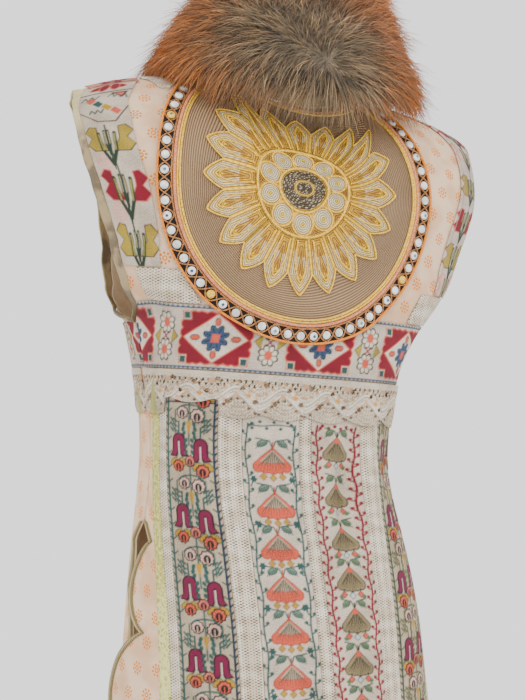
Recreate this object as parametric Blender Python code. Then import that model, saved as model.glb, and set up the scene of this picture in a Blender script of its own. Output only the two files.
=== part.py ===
"""Embroidered folk vest with a fur collar, open at the neck, armholes, front and hem.

Metres, +Z up, the front faces -Y and the wearer's left is +X. The origin is at the centre of the
neck, level with the tops of the shoulders, where the wearer holds the vest up.

Every piece of cloth is a wall laid on one garment surface. A point of that surface is found from
(side, across, height): side is BACK or FRONT, across is the distance round the body from the centre
line, and height is the level of the ring it lies on. Above the yoke line the height goes on as the
distance over the shoulder, up to the shoulder seam.
"""
import math

import bmesh
import bpy
import numpy as np

BACK = 1
FRONT = -1

# Levels of the cut, from the hem to the shoulder seam
HEM = -0.760
HEM_BRAID_TOP = -0.7483
VENT_TOP = -0.425
HIP_SEAM = -0.405
STRIP_TOP = -0.320
LACE_TOP = -0.281
WAIST_SEAM = -0.260
BAND_TOP = -0.221
UNDERARM = -0.238
YOKE = -0.110
YOKE_RISE = 0.169
SHOULDER = YOKE + YOKE_RISE

# Body form: the rings that the cloth hangs round, from the hem upwards
RING_COLUMNS = ("height", "half_width", "back_depth", "front_depth", "shift_x", "tilt")
RINGS = (
    (-0.800, 0.166, 0.143, 0.126, -0.004, 0.0),
    (-0.700, 0.157, 0.138, 0.120, -0.005, 0.0),
    (-0.600, 0.149, 0.131, 0.112, -0.005, 0.3),
    (-0.520, 0.144, 0.120, 0.106, -0.004, 1.0),
    (-0.450, 0.135, 0.107, 0.101, -0.001, 2.0),
    (-0.400, 0.126, 0.098, 0.098, 0.002, 2.8),
    (-0.355, 0.122, 0.094, 0.097, 0.003, 3.4),
    (-0.300, 0.126, 0.097, 0.102, 0.002, 4.0),
    (-0.260, 0.134, 0.101, 0.108, 0.000, 4.4),
    (-0.235, 0.145, 0.105, 0.111, -0.003, 4.6),
    (-0.210, 0.168, 0.106, 0.110, 0.000, 4.7),
    (-0.180, 0.186, 0.106, 0.106, -0.001, 4.8),
    (-0.140, 0.200, 0.106, 0.097, -0.003, 5.0),
    (-0.110, 0.210, 0.105, 0.090, -0.005, 5.2),
    (0.000, 0.2170, 0.105, 0.084, -0.009, 5.5),
    (0.059, 0.2185, 0.105, 0.084, -0.011, 5.5),
)
# Armhole edge: how far round the ring it lies, in degrees from the centre line
ARMHOLE_COLUMNS = ("height", "back_angle", "front_angle")
ARMHOLE = (
    (-0.238, 90, 90),
    (-0.224, 77, 54),
    (-0.200, 69, 43),
    (-0.165, 66, 39),
    (-0.110, 69, 39),
    (-0.040, 76, 52),
    (0.059, 90, 90),
)
RING_SQUARENESS = 0.045
SHOULDER_FALL = 1.35
RIDGE_LEVEL = 0.004
NECK_HALF_WIDTH = 0.068
NECK_CENTRE_X = -0.012
BACK_NECK_DROP = 0.066
FRONT_NECK_DROP = 0.128
TABLE_STEPS = 160
ANGLE_STEPS = 120
WIDEST_ANGLE = math.radians(150)

# Cloth
CLOTH = 0.0016
APPLIQUE = 0.0012
LAYER_GAP = 0.0005
PATCH_GAP = 0.0009
LACE_LIFT = {BACK: 0.0027, FRONT: 0.0008}
SEAM = 0.0003
SEAM_LAID = 0.0006
FRONT_GAP = 0.009
LACE_REPEAT = 0.046

# Applied strips on the back: distance of each border from the centre back
CENTRE_EDGE = 0.0065
TULIP_EDGE = 0.064
CROCHET_EDGE = 0.087
FLORAL_EDGE = 0.145
LACE_EDGE = 0.157
RIBBON_EDGE = 0.171

# Lowest level of the embroidered strips along the armholes
SHOULDER_STRIP_LOW = -0.188

# Round medal of couched cord, and the beaded ring round it
MEDAL_ACROSS = 0.017
MEDAL_HEIGHT = -0.098
MEDAL_RADIUS = 0.1355
BEAD_CIRCLE = 0.144
RING_RADIUS = 0.1520
MEDAL_DRAWN_IN = 0.95
MEDAL_LIFT = 0.0026
MEDAL_THICK = 0.0022
PETALS = 20
PETAL_RELIEF = 0.0016
BEADS = 51
BEAD_RELIEF = 0.0022
# The ring is open under the collar: it runs from its right end down and round to its left end
RING_START = math.radians(132)
RING_END = math.radians(419)

# Scalloped vents: each row starts a scallop, with its inset from the side line and how far it bows out
SCALLOP_COLUMNS = ("height", "inset", "bow")
BACK_SCALLOPS = (
    (-0.446, 0.017, 0.033),
    (-0.531, 0.022, 0.048),
    (-0.650, 0.010, 0.045),
    (-0.748, 0.008, 0.020),
    (-0.790, 0.008, 0.0),
)
FRONT_SCALLOPS = (
    (-0.446, 0.021, 0.006),
    (-0.490, 0.024, 0.015),
    (-0.585, 0.022, 0.015),
    (-0.680, 0.022, 0.015),
    (-0.775, 0.022, 0.0),
)
FACING_WIDTH = 0.013
BRAID_WIDTH = 0.008

# Fur collar
COLLAR_BAND_HEIGHT = 0.030


def smooth_curve(x, xs, ys):
    """A smooth curve through the points (xs, ys), read at x."""
    xs, ys = np.asarray(xs, float), np.asarray(ys, float)
    slope = np.gradient(ys, xs)
    x = np.clip(x, xs[0], xs[-1])
    k = np.clip(np.searchsorted(xs, x) - 1, 0, len(xs) - 2)
    step = xs[k + 1] - xs[k]
    t = (x - xs[k]) / step
    first = (1 + 2 * t) * (1 - t) ** 2 * ys[k] + t * (1 - t) ** 2 * step * slope[k]
    return first + t * t * (3 - 2 * t) * ys[k + 1] + t * t * (t - 1) * step * slope[k + 1]


def ease(x, start, end):
    """0 before start, 1 after end, with a soft change between."""
    t = np.clip((np.asarray(x, float) - start) / (end - start), 0, 1)
    return t * t * (3 - 2 * t)


def ring_value(name, height):
    """One column of the ring table, read at any height."""
    column = RING_COLUMNS.index(name)
    return smooth_curve(height, [r[0] for r in RINGS], [r[column] for r in RINGS])


def over_shoulder(height):
    """(share of the depth left, share of the rise done) for a height above the yoke line."""
    turn = np.clip((height - YOKE) / YOKE_RISE, 0, 1.2) * math.pi / 2
    return np.cos(turn), np.sin(turn)


def ring_point(side, angle, height):
    """Flat position on a ring. The angle runs from the centre line, and past 90 degrees it goes round."""
    e = RING_SQUARENESS
    depth_left = over_shoulder(height)[0]
    near = np.where(side == BACK, ring_value("back_depth", height), ring_value("front_depth", height))
    far = np.where(side == BACK, ring_value("front_depth", height), ring_value("back_depth", height))
    x = ring_value("half_width", height) * (np.sin(angle) + e * np.sin(3 * angle)) / (1 - e)
    y = (np.cos(angle) - e * np.cos(3 * angle)) / (1 - e)
    return x, side * y * np.where(y > 0, near, far) * depth_left


def arc_table(side):
    """Distance round each ring from the centre line, for a fan of angles."""
    heights = np.linspace(HEM - 0.03, SHOULDER + 0.004, TABLE_STEPS)
    angles = np.linspace(0, WIDEST_ANGLE, ANGLE_STEPS)
    x, y = ring_point(side, angles[None, :], heights[:, None])
    step = np.hypot(np.diff(x, axis=1), np.diff(y, axis=1))
    return heights, angles, np.concatenate([np.zeros((TABLE_STEPS, 1)), np.cumsum(step, axis=1)], axis=1)


ARCS = {BACK: arc_table(BACK), FRONT: arc_table(FRONT)}


def angle_at(side, across, height):
    """The ring angle that lies a given distance round from the centre line."""
    heights, angles, arcs = ARCS[side]
    level = np.clip((height - heights[0]) / (heights[1] - heights[0]), 0, TABLE_STEPS - 1.001)
    low = level.astype(int)
    found = np.zeros((2, len(level)))
    for row in np.unique(low):
        here = low == row
        for k in (0, 1):
            found[k, here] = np.interp(np.abs(across[here]), arcs[row + k], angles)
    part = level - low
    return np.sign(across) * (found[0] * (1 - part) + found[1] * part)


def distance_at(side, angle, height):
    """The distance round from the centre line to a ring angle."""
    heights, angles, arcs = ARCS[side]
    level = float(np.clip((height - heights[0]) / (heights[1] - heights[0]), 0, TABLE_STEPS - 1.001))
    low, part = int(level), level - int(level)
    near, far = np.interp(angle, angles, arcs[low]), np.interp(angle, angles, arcs[low + 1])
    return float(near * (1 - part) + far * part)


def side_line(side, height):
    """Distance from the centre line to the side seam."""
    return distance_at(side, math.pi / 2, height)


def trough(across, height, at, level, width, length, depth, lean=0.0):
    """One soft crease: a trough, or a ridge where depth is negative."""
    along = height - level
    beside = across - at - lean * along
    return -depth * np.exp(-((beside / width) ** 2) - (along / length) ** 2)


# Creases: side, distance from the centre, level, half width, half length, depth, lean
CREASES = (
    (BACK, -0.044, -0.392, 0.0120, 0.048, 0.0115, -0.12),
    (BACK, -0.074, -0.392, 0.0150, 0.050, -0.0035, -0.10),
    (BACK, 0.058, -0.362, 0.0120, 0.050, 0.0035, 0.10),
    (BACK, -0.110, -0.365, 0.0160, 0.035, 0.0040, 0.05),
    (BACK, 0.120, -0.395, 0.0150, 0.050, 0.0030, -0.05),
    (BACK, 0.165, -0.225, 0.0200, 0.030, 0.0030, 0.50),
    (BACK, -0.165, -0.225, 0.0200, 0.030, 0.0030, -0.50),
    (FRONT, 0.095, -0.372, 0.0140, 0.050, 0.0055, 0.08),
    (FRONT, -0.085, -0.380, 0.0140, 0.055, 0.0060, -0.08),
    (FRONT, 0.045, -0.300, 0.0170, 0.060, 0.0035, 0.05),
    (FRONT, -0.140, -0.345, 0.0140, 0.045, 0.0040, 0.05),
)
# Long soft flutes of the skirt: waves round the half body, depth at the hem
SKIRT_WAVES = {BACK: (5.0, 0.0050), FRONT: (6.0, 0.0055)}
VENT_FLARE = {BACK: 0.015, FRONT: 0.0}


def drape(side, across, height):
    """How far the cloth stands off the body form, outwards."""
    out = np.zeros_like(across)
    for crease_side, *crease in CREASES:
        if crease_side == side:
            out = out + trough(across, height, *crease)
    waves, depth = SKIRT_WAVES[side]
    loose = ease(-height, 0.47, 0.78)
    out = out + depth * loose * np.cos(across / 0.22 * waves * math.pi / 2 + 0.6)
    near_vent = ease(np.abs(across), 0.150, 0.240) * ease(-height, 0.44, 0.60)
    return out + VENT_FLARE[side] * near_vent


def form_point(side, across, height):
    """A point of the body form, before the creases."""
    angle = angle_at(side, across, height)
    x, y = ring_point(side, angle, height)
    rise = over_shoulder(height)[1]
    ridge = RIDGE_LEVEL - SHOULDER_FALL * np.clip(np.abs(x) - NECK_HALF_WIDTH, 0, 1) ** 2
    z = np.where(height > YOKE, YOKE + rise * (ridge - YOKE), height)
    tilt = np.tan(np.radians(ring_value("tilt", height)))
    return np.stack([x + ring_value("shift_x", height), y, z + tilt * x], axis=-1)


def outward(side, across, height, point):
    """Unit normals of a surface function, pointing away from the body."""
    d = 0.0005
    round_the_body = point(side, across + d, height) - point(side, across - d, height)
    up_the_body = point(side, across, height + d) - point(side, across, height - d)
    normal = np.cross(round_the_body, up_the_body) * -side
    return normal / np.linalg.norm(normal, axis=-1, keepdims=True)


def draped_point(side, across, height):
    """A point of the cloth's own surface, with its creases."""
    normal = outward(side, across, height, form_point)
    return form_point(side, across, height) + normal * drape(side, across, height)[:, None]


def cloth_point(side, across, height, lift=0.0):
    """A point at a distance above the cloth's surface."""
    across, height = np.asarray(across, float), np.asarray(height, float)
    normal = outward(side, across, height, draped_point)
    return draped_point(side, across, height) + normal * np.reshape(lift, (-1, 1))


# Outlines of the cut
def neckline(side, across):
    """Height of the neck edge or of the shoulder seam, above a place on the centre line."""
    drop = BACK_NECK_DROP if side == BACK else FRONT_NECK_DROP
    inside = min(abs(across) / NECK_HALF_WIDTH, 1)
    return SHOULDER - SEAM / 2 - drop * math.sqrt(1 - inside**2)


def scallop_reach(side, height):
    """How far a scalloped vent edge stands past the side line."""
    scallops = BACK_SCALLOPS if side == BACK else FRONT_SCALLOPS
    if height > scallops[0][0]:
        return -scallops[0][1] * (VENT_TOP - height) / (VENT_TOP - scallops[0][0])
    k = max(n for n in range(len(scallops) - 1) if height <= scallops[n][0])
    (top, inset, bow), (bottom, next_inset, _) = scallops[k], scallops[k + 1]
    part = (top - height) / (top - bottom)
    return -inset + (inset - next_inset) * part + bow * math.sin(math.pi * part) ** 0.7


def side_edge(side, height):
    """Distance from the centre line to the edge of the panel: vent, side seam or armhole."""
    if height >= UNDERARM:
        column = 1 if side == BACK else 2
        edge_angle = np.interp(height, [r[0] for r in ARMHOLE], [r[column] for r in ARMHOLE])
        edge = distance_at(side, math.radians(edge_angle), height)
        room = (FACING_WIDTH + 0.0015) * float(ease(height, YOKE, -0.03))
        return min(edge, side_line(side, height) - room) - SEAM / 2
    edge = side_line(side, height) - SEAM / 2
    if height > VENT_TOP:
        return edge
    return edge + scallop_reach(side, height)


def wall(name, side, place, columns, rows, thickness, lift, relief=None, holes=None, finish_as=None):
    """A piece of cloth: a grid that is raised to its thickness and laid on the garment surface.

    place(i, j) gives (across, height) for column i and row j. relief raises outer points, and holes(i, j)
    says which cells of the grid are left out.
    """
    mesh = bmesh.new()
    bmesh.ops.create_grid(mesh, x_segments=columns, y_segments=rows, size=0.5)
    if holes:
        centres = [(face, face.calc_center_median()) for face in mesh.faces]
        gone = [f for f, c in centres if holes(int((c.x + 0.5) * columns), int((c.y + 0.5) * rows))]
        bmesh.ops.delete(mesh, geom=gone, context="FACES")
    bmesh.ops.triangulate(mesh, faces=mesh.faces[:], quad_method="FIXED")
    for vert in mesh.verts:
        across, height = place(round((vert.co.x + 0.5) * columns), round((vert.co.y + 0.5) * rows))
        vert.co = (across, height, 0)
    bmesh.ops.remove_doubles(mesh, verts=mesh.verts, dist=0.00002)
    raised = bmesh.ops.extrude_face_region(mesh, geom=mesh.faces[:])
    for part in raised["geom"]:
        if isinstance(part, bmesh.types.BMVert):
            part.co.z = 1
    flat = np.array([vert.co for vert in mesh.verts], float)
    lifts = lift + flat[:, 2] * thickness
    if relief:
        lifts = lifts + flat[:, 2] * np.array([relief(s, v) for s, v in flat[:, :2]])
    placed = cloth_point(side, flat[:, 0], flat[:, 1], lifts)
    for vert, point in zip(mesh.verts, placed):
        vert.co = point
    return finish(name, mesh, finish_as)


def finish(name, mesh, finish_as):
    """Makes the object, with its normals outwards and its own material."""
    bmesh.ops.recalc_face_normals(mesh, faces=mesh.faces)
    if mesh.calc_volume(signed=True) < 0:
        bmesh.ops.reverse_faces(mesh, faces=mesh.faces)
    data = bpy.data.meshes.new(name)
    mesh.to_mesh(data)
    mesh.free()
    made = bpy.data.objects.new(name, data)
    PARTS.objects.link(made)
    data.shade_smooth()
    data.set_sharp_from_angle(angle=math.radians(40))
    tint, roughness = finish_as
    material = bpy.data.materials.new(name)
    material.use_nodes = True
    surface = material.node_tree.nodes["Principled BSDF"]
    surface.inputs["Base Color"].default_value = (*tint, 1)
    surface.inputs["Roughness"].default_value = roughness
    data.materials.append(material)
    return made


# Finishes: colour and roughness
PEACH = ((0.80, 0.62, 0.45), 0.9)
CREAM = ((0.72, 0.66, 0.56), 0.9)
LINEN = ((0.64, 0.56, 0.47), 0.9)
CRIMSON = ((0.45, 0.02, 0.10), 0.9)
OLIVE = ((0.62, 0.60, 0.34), 0.85)
SATIN = ((0.36, 0.28, 0.18), 0.45)
GOLD = ((0.62, 0.42, 0.10), 0.5)
BRAID = ((0.33, 0.29, 0.20), 0.6)
FUR = ((0.42, 0.24, 0.10), 0.95)


def lerp(a, b, t):
    return a + (b - a) * t


# Shared grid: every piece on a panel takes its columns and rows from these, so it lies evenly on it
BACK_COLUMNS = (-RIBBON_EDGE, -FLORAL_EDGE, -0.126, -0.106, -CROCHET_EDGE, -TULIP_EDGE,
                -0.053, -0.044, -0.034, -0.021, -CENTRE_EDGE, CENTRE_EDGE, 0.025, 0.044,
                TULIP_EDGE, CROCHET_EDGE, 0.106, 0.126, FLORAL_EDGE, RIBBON_EDGE)
FRONT_COLUMNS = (FRONT_GAP, FRONT_GAP + BRAID_WIDTH, 0.036, 0.054, 0.072, 0.096, 0.121, 0.146)
NECK_SHIFT_COLUMNS = ("across at the yoke line", "across at the neck and shoulder seam")
NECK_SHIFT = {
    BACK: ((0, 0), (TULIP_EDGE, 0.060), (CROCHET_EDGE, NECK_HALF_WIDTH), (RIBBON_EDGE, 0.165)),
    FRONT: ((FRONT_GAP, FRONT_GAP), (FRONT_GAP + BRAID_WIDTH, 0.030), (0.036, 0.052), (0.054, 0.064),
            (0.072, NECK_HALF_WIDTH), (0.096, 0.098), (0.121, 0.133), (0.146, 0.170)),
}
SKIRT_LEVELS = [-0.748, -0.728, -0.699, -0.671, -0.650, -0.624, -0.590, -0.556, -0.531, -0.512, -0.488,
                -0.463, -0.446]
WAIST_LEVELS = [VENT_TOP, HIP_SEAM, -0.385, -0.364, -0.342, -0.318, -0.298]
CHEST_LEVELS = [LACE_TOP, WAIST_SEAM, UNDERARM, BAND_TOP, -0.200, -0.170, -0.140, YOKE]
YOKE_LEVELS = [-0.076, -0.042, -0.008, 0.026, SHOULDER - SEAM / 2]
PANEL_LEVELS = [HEM] + SKIRT_LEVELS + WAIST_LEVELS + CHEST_LEVELS + YOKE_LEVELS


def panel_place(side, across, level):
    """Where a grid place of a panel lies. Above the yoke line the columns close in on the neck edge."""
    if level <= YOKE:
        return across, level
    share = (level - YOKE) / (SHOULDER - SEAM / 2 - YOKE)
    marks = NECK_SHIFT[side] + ((side_edge(side, YOKE), side_edge(side, SHOULDER)),)
    top_across = math.copysign(np.interp(abs(across), *zip(*marks)), across)
    top = neckline(side, top_across)
    return lerp(across, top_across, share), lerp(YOKE, top, share)


def front_column(k, level):
    """A front column's place across, drawn in where the armhole edge is nearer."""
    return min(FRONT_COLUMNS[k], side_edge(FRONT, level) - 0.004 * (len(FRONT_COLUMNS) + 1 - k))


def outer_column(side, level):
    """The last column before the edge: under the inner side of the vent braid, or midway above the vent."""
    inner = RIBBON_EDGE if side == BACK else front_column(len(FRONT_COLUMNS) - 1, level)
    inner = panel_place(side, inner, level)[0]
    edge = side_edge(side, level)
    midway = (inner + edge) / 2
    under_braid = max(edge - BRAID_WIDTH, midway)
    return lerp(under_braid, midway, float(ease(level, VENT_TOP, VENT_TOP + 0.02)))


def back_row(end):
    """The shared columns of the back, from one end to the other."""
    half = [lambda level: outer_column(BACK, level), end]
    return [lambda level: -end(level), lambda level: -outer_column(BACK, level)] + list(BACK_COLUMNS) + half


def front_row(start, end):
    """The shared columns of a front, from near its edge at the centre to its side."""
    fixed = [lambda level, k=k: front_column(k, level) for k in range(2, len(FRONT_COLUMNS))]
    return [start] + fixed + [lambda level: outer_column(FRONT, level), end]


def levels_between(low, high):
    """The panel levels from one seam to the next, with the ends at a seam drawn in by half of it."""
    levels = [level for level in PANEL_LEVELS if low <= level <= high]
    if low > HEM:
        levels[0] += SEAM / 2
    if high < YOKE:
        levels[-1] -= SEAM / 2
    return levels


def back_panel(name, low, high):
    last = len(BACK_COLUMNS) + 3
    levels = levels_between(low, high)

    def place(i, j):
        level = levels[j]
        if 2 <= i <= last - 2:
            return panel_place(BACK, BACK_COLUMNS[i - 2], level)
        across = side_edge(BACK, level) if i in (0, last) else outer_column(BACK, level)
        return math.copysign(across, i - 5), level

    wall(name, BACK, place, last, len(levels) - 1, CLOTH, -CLOTH, finish_as=PEACH)


def front_panel(hand, name, low, high):
    last = len(FRONT_COLUMNS) + 1
    levels = levels_between(low, high)

    def place(i, j):
        level = levels[j]
        if i < last - 1:
            across, height = panel_place(FRONT, front_column(i, level), level)
            return hand * across, height
        return hand * (side_edge(FRONT, level) if i == last else outer_column(FRONT, level)), level

    wall(name, FRONT, place, last, len(levels) - 1, CLOTH, -CLOTH, finish_as=PEACH)


def laid(name, side, columns, rows, finish_as, hand=1, lift=LAYER_GAP, **extra):
    """A piece laid on a panel. Columns and rows are numbers, or functions of the height or of the across."""
    if side == BACK and hand < 0:
        columns = columns[::-1]

    def place(i, j):
        across, height = columns[i], rows[j]
        if callable(height):
            height = height(hand * (across(STRIP_TOP) if callable(across) else across))
        if callable(across):
            across = across(height)
        return hand * across, height

    wall(name, side, place, len(columns) - 1, len(rows) - 1, APPLIQUE, lift, finish_as=finish_as, **extra)


def between(marks, low, high):
    """The shared marks that lie between two ends, with the ends drawn in by half a seam."""
    near = 0.003
    return [low + SEAM_LAID / 2] + [m for m in marks if low + near < m < high - near] + [high - SEAM_LAID / 2]


def lace_rise(across):
    """The lace band is shallower over the left flower strip."""
    return 0.013 if CROCHET_EDGE < across < FLORAL_EDGE else 0


def lace_hem(across, side=BACK):
    """The scalloped lower edge of the lace band, which lies over the tops of the skirt strips."""
    rise = lace_rise(across) if side == BACK else 0
    return STRIP_TOP + rise - 0.005 * abs(math.sin(math.pi * across / LACE_REPEAT))


LACE_COLUMNS = (0.07, 0.29, 0.43, 0.57, 0.71, 0.93)
LACE_ROWS = (0, 0.25, 0.42, 0.62, 0.79, 1)
# Eyes of the lace in one repeat: column and row of each open cell
LACE_EYES = ((1, 1), (3, 1), (2, 3), (5, 3))


def lace_band(name, side, start, reach, hand=1):
    """Bobbin lace: its largest eyes are cut through."""
    count = int(0.2 / LACE_REPEAT) + 1
    marks = [LACE_REPEAT * (k + part) for k in range(-count, count) for part in LACE_COLUMNS]
    inner = [m for m in marks if start + 0.003 < m < reach(LACE_TOP) - 0.012]
    first = start if side == FRONT else (lambda height: -reach(height))
    columns = [first] + inner + [reach]
    rows = [lambda across, part=part: lerp(lace_hem(across, side) + 0.0004, LACE_TOP - SEAM_LAID, part)
            for part in LACE_ROWS]

    def holes(i, j):
        if not 1 <= i < len(columns) - 2:
            return False
        middle = (columns[i] + columns[i + 1]) / 2 / LACE_REPEAT % 1
        cell = (sum(middle > part for part in LACE_COLUMNS) - 1) % len(LACE_COLUMNS)
        return (cell, j) in LACE_EYES

    laid(name, side, columns, rows, CREAM, hand=hand, lift=LACE_LIFT[side], holes=holes)


def waist_bands():
    """The wide cross-stitched band and the lace under it, round the whole body."""

    def back_end(height):
        return side_edge(BACK, height) - 0.0015

    def front_end(height):
        return side_edge(FRONT, height) - 0.0015

    rows = between(PANEL_LEVELS, LACE_TOP, BAND_TOP)
    laid("waist_band_back", BACK, back_row(back_end), rows, CRIMSON)
    lace_band("lace_band_back", BACK, -back_end(LACE_TOP) + 0.012, back_end)
    start = FRONT_GAP + BRAID_WIDTH + 0.0006
    columns = front_row(start, front_end)
    rows = between(PANEL_LEVELS, LACE_TOP, UNDERARM)
    for hand, name in ((1, "left"), (-1, "right")):
        laid(f"waist_band_front_{name}", FRONT, columns, rows, CRIMSON, hand=hand)
        lace_band(f"lace_band_front_{name}", FRONT, start, front_end, hand=hand)


def skirt_strips():
    """The long strips of the skirt, from under the lace scallops down to the hem braid."""
    levels = [level for level in PANEL_LEVELS if HEM + 0.015 < level < STRIP_TOP - 0.012]

    def top(across):
        return STRIP_TOP + 0.006 + lace_rise(across)

    rows = [HEM_BRAID_TOP + SEAM_LAID] + levels + [top]
    laid("crochet_centre", BACK, between((), -CENTRE_EDGE, CENTRE_EDGE), rows, CREAM)
    for hand, name in ((1, "left"), (-1, "right")):
        marks = sorted(hand * column for column in BACK_COLUMNS)
        pieces = (
            ("tulip_strip", CENTRE_EDGE, TULIP_EDGE, LINEN),
            ("crochet_inner", TULIP_EDGE, CROCHET_EDGE, CREAM),
            ("floral_strip", CROCHET_EDGE, FLORAL_EDGE, LINEN),
            ("crochet_outer", FLORAL_EDGE, LACE_EDGE, CREAM),
            ("ribbon", LACE_EDGE, RIBBON_EDGE, OLIVE),
        )
        for piece, near, far, finish_as in pieces:
            laid(f"{piece}_{name}", BACK, between(marks, near, far), rows, finish_as, hand=hand)


def corner_piece(name, corners, columns, rows, finish_as, hand):
    """A four-sided piece from its corners (across, height): lower in, lower out, upper out, upper in."""

    def place(i, j):
        a, b = i / columns, j / rows
        low = [lerp(corners[0][k], corners[1][k], a) for k in (0, 1)]
        high = [lerp(corners[3][k], corners[2][k], a) for k in (0, 1)]
        return hand * lerp(low[0], high[0], b), lerp(low[1], high[1], b)

    wall(name, BACK, place, columns, rows, APPLIQUE, PATCH_GAP, finish_as=finish_as)


def shoulder_pieces():
    """The pieced cloths round the medal: embroidered strips at the armholes, lace, and a small square."""
    top = SHOULDER - 0.003
    strip_tops = {1: SHOULDER - 0.034, -1: SHOULDER - 0.024}
    seam_edge = side_edge(BACK, SHOULDER - 0.02) - 0.003
    laces = {
        1: ((0.132, top - 0.052), (0.143, top - 0.052), (0.152, top), (0.098, top)),
        -1: ((0.140, top - 0.020), (seam_edge, top - 0.020), (seam_edge, top), (0.104, top)),
    }
    for hand, name in ((1, "left"), (-1, "right")):
        low, high = SHOULDER_STRIP_LOW, strip_tops[hand]
        levels = [low] + [level for level in PANEL_LEVELS if low + 0.008 < level < high - 0.004] + [high]

        def along_armhole(i, j, hand=hand, levels=levels):
            height = levels[j]
            outer = side_edge(BACK, height) - 0.002
            width = 0.050 - 0.010 * float(ease(-height, 0.10, 0.19))
            return hand * lerp(outer - width, outer, i / 4), height

        wall(f"shoulder_strip_{name}", BACK, along_armhole, 4, len(levels) - 1, APPLIQUE, PATCH_GAP,
             finish_as=LINEN)
        yoke = ((0.112, -0.2195), (0.168, -0.2195), (0.178, -0.1895), (0.130, -0.1895))
        corner_piece(f"yoke_lace_{name}", yoke, 4, 2, CREAM, hand)
        corner_piece(f"shoulder_lace_{name}", laces[hand], 4, 3, CREAM, hand)
    patch = ((0.158, top - 0.030), (seam_edge, top - 0.030), (seam_edge, top), (0.153, top))
    corner_piece("shoulder_patch_left", patch, 3, 2, CRIMSON, 1)


def medal_place(radius, turn):
    """A place on the medal, which is drawn in a little across and pressed down under the neck edge."""
    across = MEDAL_ACROSS + radius * math.cos(turn) * MEDAL_DRAWN_IN
    height = MEDAL_HEIGHT + radius * math.sin(turn)
    limit = neckline(BACK, across) - 0.004
    reach = (across - MEDAL_ACROSS) / MEDAL_DRAWN_IN
    top = MEDAL_HEIGHT + math.sqrt(max(RING_RADIUS**2 - reach**2, 0))
    if height > YOKE and top > limit:
        height = YOKE + (height - YOKE) * (limit - YOKE) / (top - YOKE)
    return across, height


def medal_polar(across, height):
    x, y = (across - MEDAL_ACROSS) / MEDAL_DRAWN_IN, height - MEDAL_HEIGHT
    return math.hypot(x, y), math.atan2(y, x)


def medal():
    """Couched cord on a stiff ground, with a raised rosette of pointed petals."""
    steps = 2 * PETALS
    radii = (0.0, 0.020, 0.040, 0.058, 0.074, 0.090, 0.103, 0.114, MEDAL_RADIUS - SEAM_LAID / 2)

    def place(i, j):
        return medal_place(radii[j], 2 * math.pi * i / steps)

    def relief(across, height):
        radius, turn = medal_polar(across, height)
        petal = 0.5 + 0.5 * math.cos(turn * PETALS)
        if radius > 0.086 + 0.020 * petal:
            return 0.0
        return PETAL_RELIEF * (0.4 + 0.6 * petal if radius > 0.048 else 1.0)

    wall("medal", BACK, place, steps, len(radii) - 1, MEDAL_THICK, MEDAL_LIFT, relief=relief, finish_as=GOLD)


def bead_ring():
    """The ring of beads: an open band whose ends lie under the collar."""
    steps = 2 * BEADS
    radii = (MEDAL_RADIUS + SEAM_LAID / 2, BEAD_CIRCLE, RING_RADIUS)

    def place(i, j):
        return medal_place(radii[j], lerp(RING_START, RING_END, i / steps))

    def relief(across, height):
        radius, turn = medal_polar(across, height)
        if not radii[0] + 0.003 < radius < radii[2] - 0.003:
            return 0.0
        cell = (turn - RING_START) % (2 * math.pi) / (RING_END - RING_START) * steps
        return BEAD_RELIEF if round(cell) % 2 else 0.0

    wall("medal_ring", BACK, place, steps, 2, MEDAL_THICK, MEDAL_LIFT, relief=relief, finish_as=BRAID)


def facings():
    """Satin facings that show past each armhole edge, and the braid along each vent."""
    levels = [level for level in PANEL_LEVELS if level > UNDERARM]
    for side, side_name in ((BACK, "back"), (FRONT, "front")):
        for hand, name in ((1, "left"), (-1, "right")):

            def facing(i, j, side=side, hand=hand):
                height = levels[j]
                width = lerp(0.004, FACING_WIDTH, float(ease(height, UNDERARM, -0.195)))
                inner = side_edge(side, height) + SEAM
                width = min(width, side_line(side, height) - inner - 0.003)
                return hand * lerp(inner, inner + width, i), min(height, SHOULDER - lerp(SEAM / 2, 0.0015, i))

            wall(f"armhole_facing_{side_name}_{name}", side, facing, 1, len(levels) - 1, CLOTH, -CLOTH,
                 finish_as=SATIN)

            def outer(height, side=side):
                return side_edge(side, height) - 0.0005

            def inner(height, side=side):
                return outer_column(side, height)

            rows = [HEM_BRAID_TOP + SEAM_LAID] + SKIRT_LEVELS[1:] + [VENT_TOP - 0.003]
            laid(f"vent_braid_{side_name}_{name}", side, [inner, outer], rows, BRAID, hand=hand)


def hem_and_edges():
    """Braid along the hem and down both front edges."""

    def back_end(height):
        return side_edge(BACK, height) - 0.0008

    def front_end(height):
        return side_edge(FRONT, height) - 0.0008

    rows = [HEM + 0.0003, HEM_BRAID_TOP]
    laid("hem_braid_back", BACK, back_row(back_end), rows, BRAID)
    for hand, name in ((1, "left"), (-1, "right")):
        start = FRONT_GAP + BRAID_WIDTH + 0.0008
        laid(f"hem_braid_front_{name}", FRONT, front_row(start, front_end), rows, BRAID, hand=hand)
        levels = [HEM + 0.0005] + [level for level in PANEL_LEVELS if HEM < level <= YOKE]
        edges = (FRONT_GAP + 0.0005, FRONT_GAP + BRAID_WIDTH)
        laid(f"front_braid_{name}", FRONT, edges, levels, BRAID, hand=hand)


def neck_points():
    """The neck edge in the middle of the cloth, from the left front round the back to the right front."""
    found = []
    for hand, order in ((1, 1), (-1, -1)):
        front = [panel_place(FRONT, column, PANEL_LEVELS[-1]) for column in FRONT_COLUMNS[:5]]
        found.append([(FRONT, hand * across, height) for across, height in front][::order])
    inner = [column for column in BACK_COLUMNS[::-1] if abs(column) < CROCHET_EDGE]
    middle = [(BACK, *panel_place(BACK, column, PANEL_LEVELS[-1])) for column in inner]
    return [cloth_point(side, [across], [height], [-CLOTH / 2])[0] for side, across, height in
            found[0] + middle + found[1]]


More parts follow.
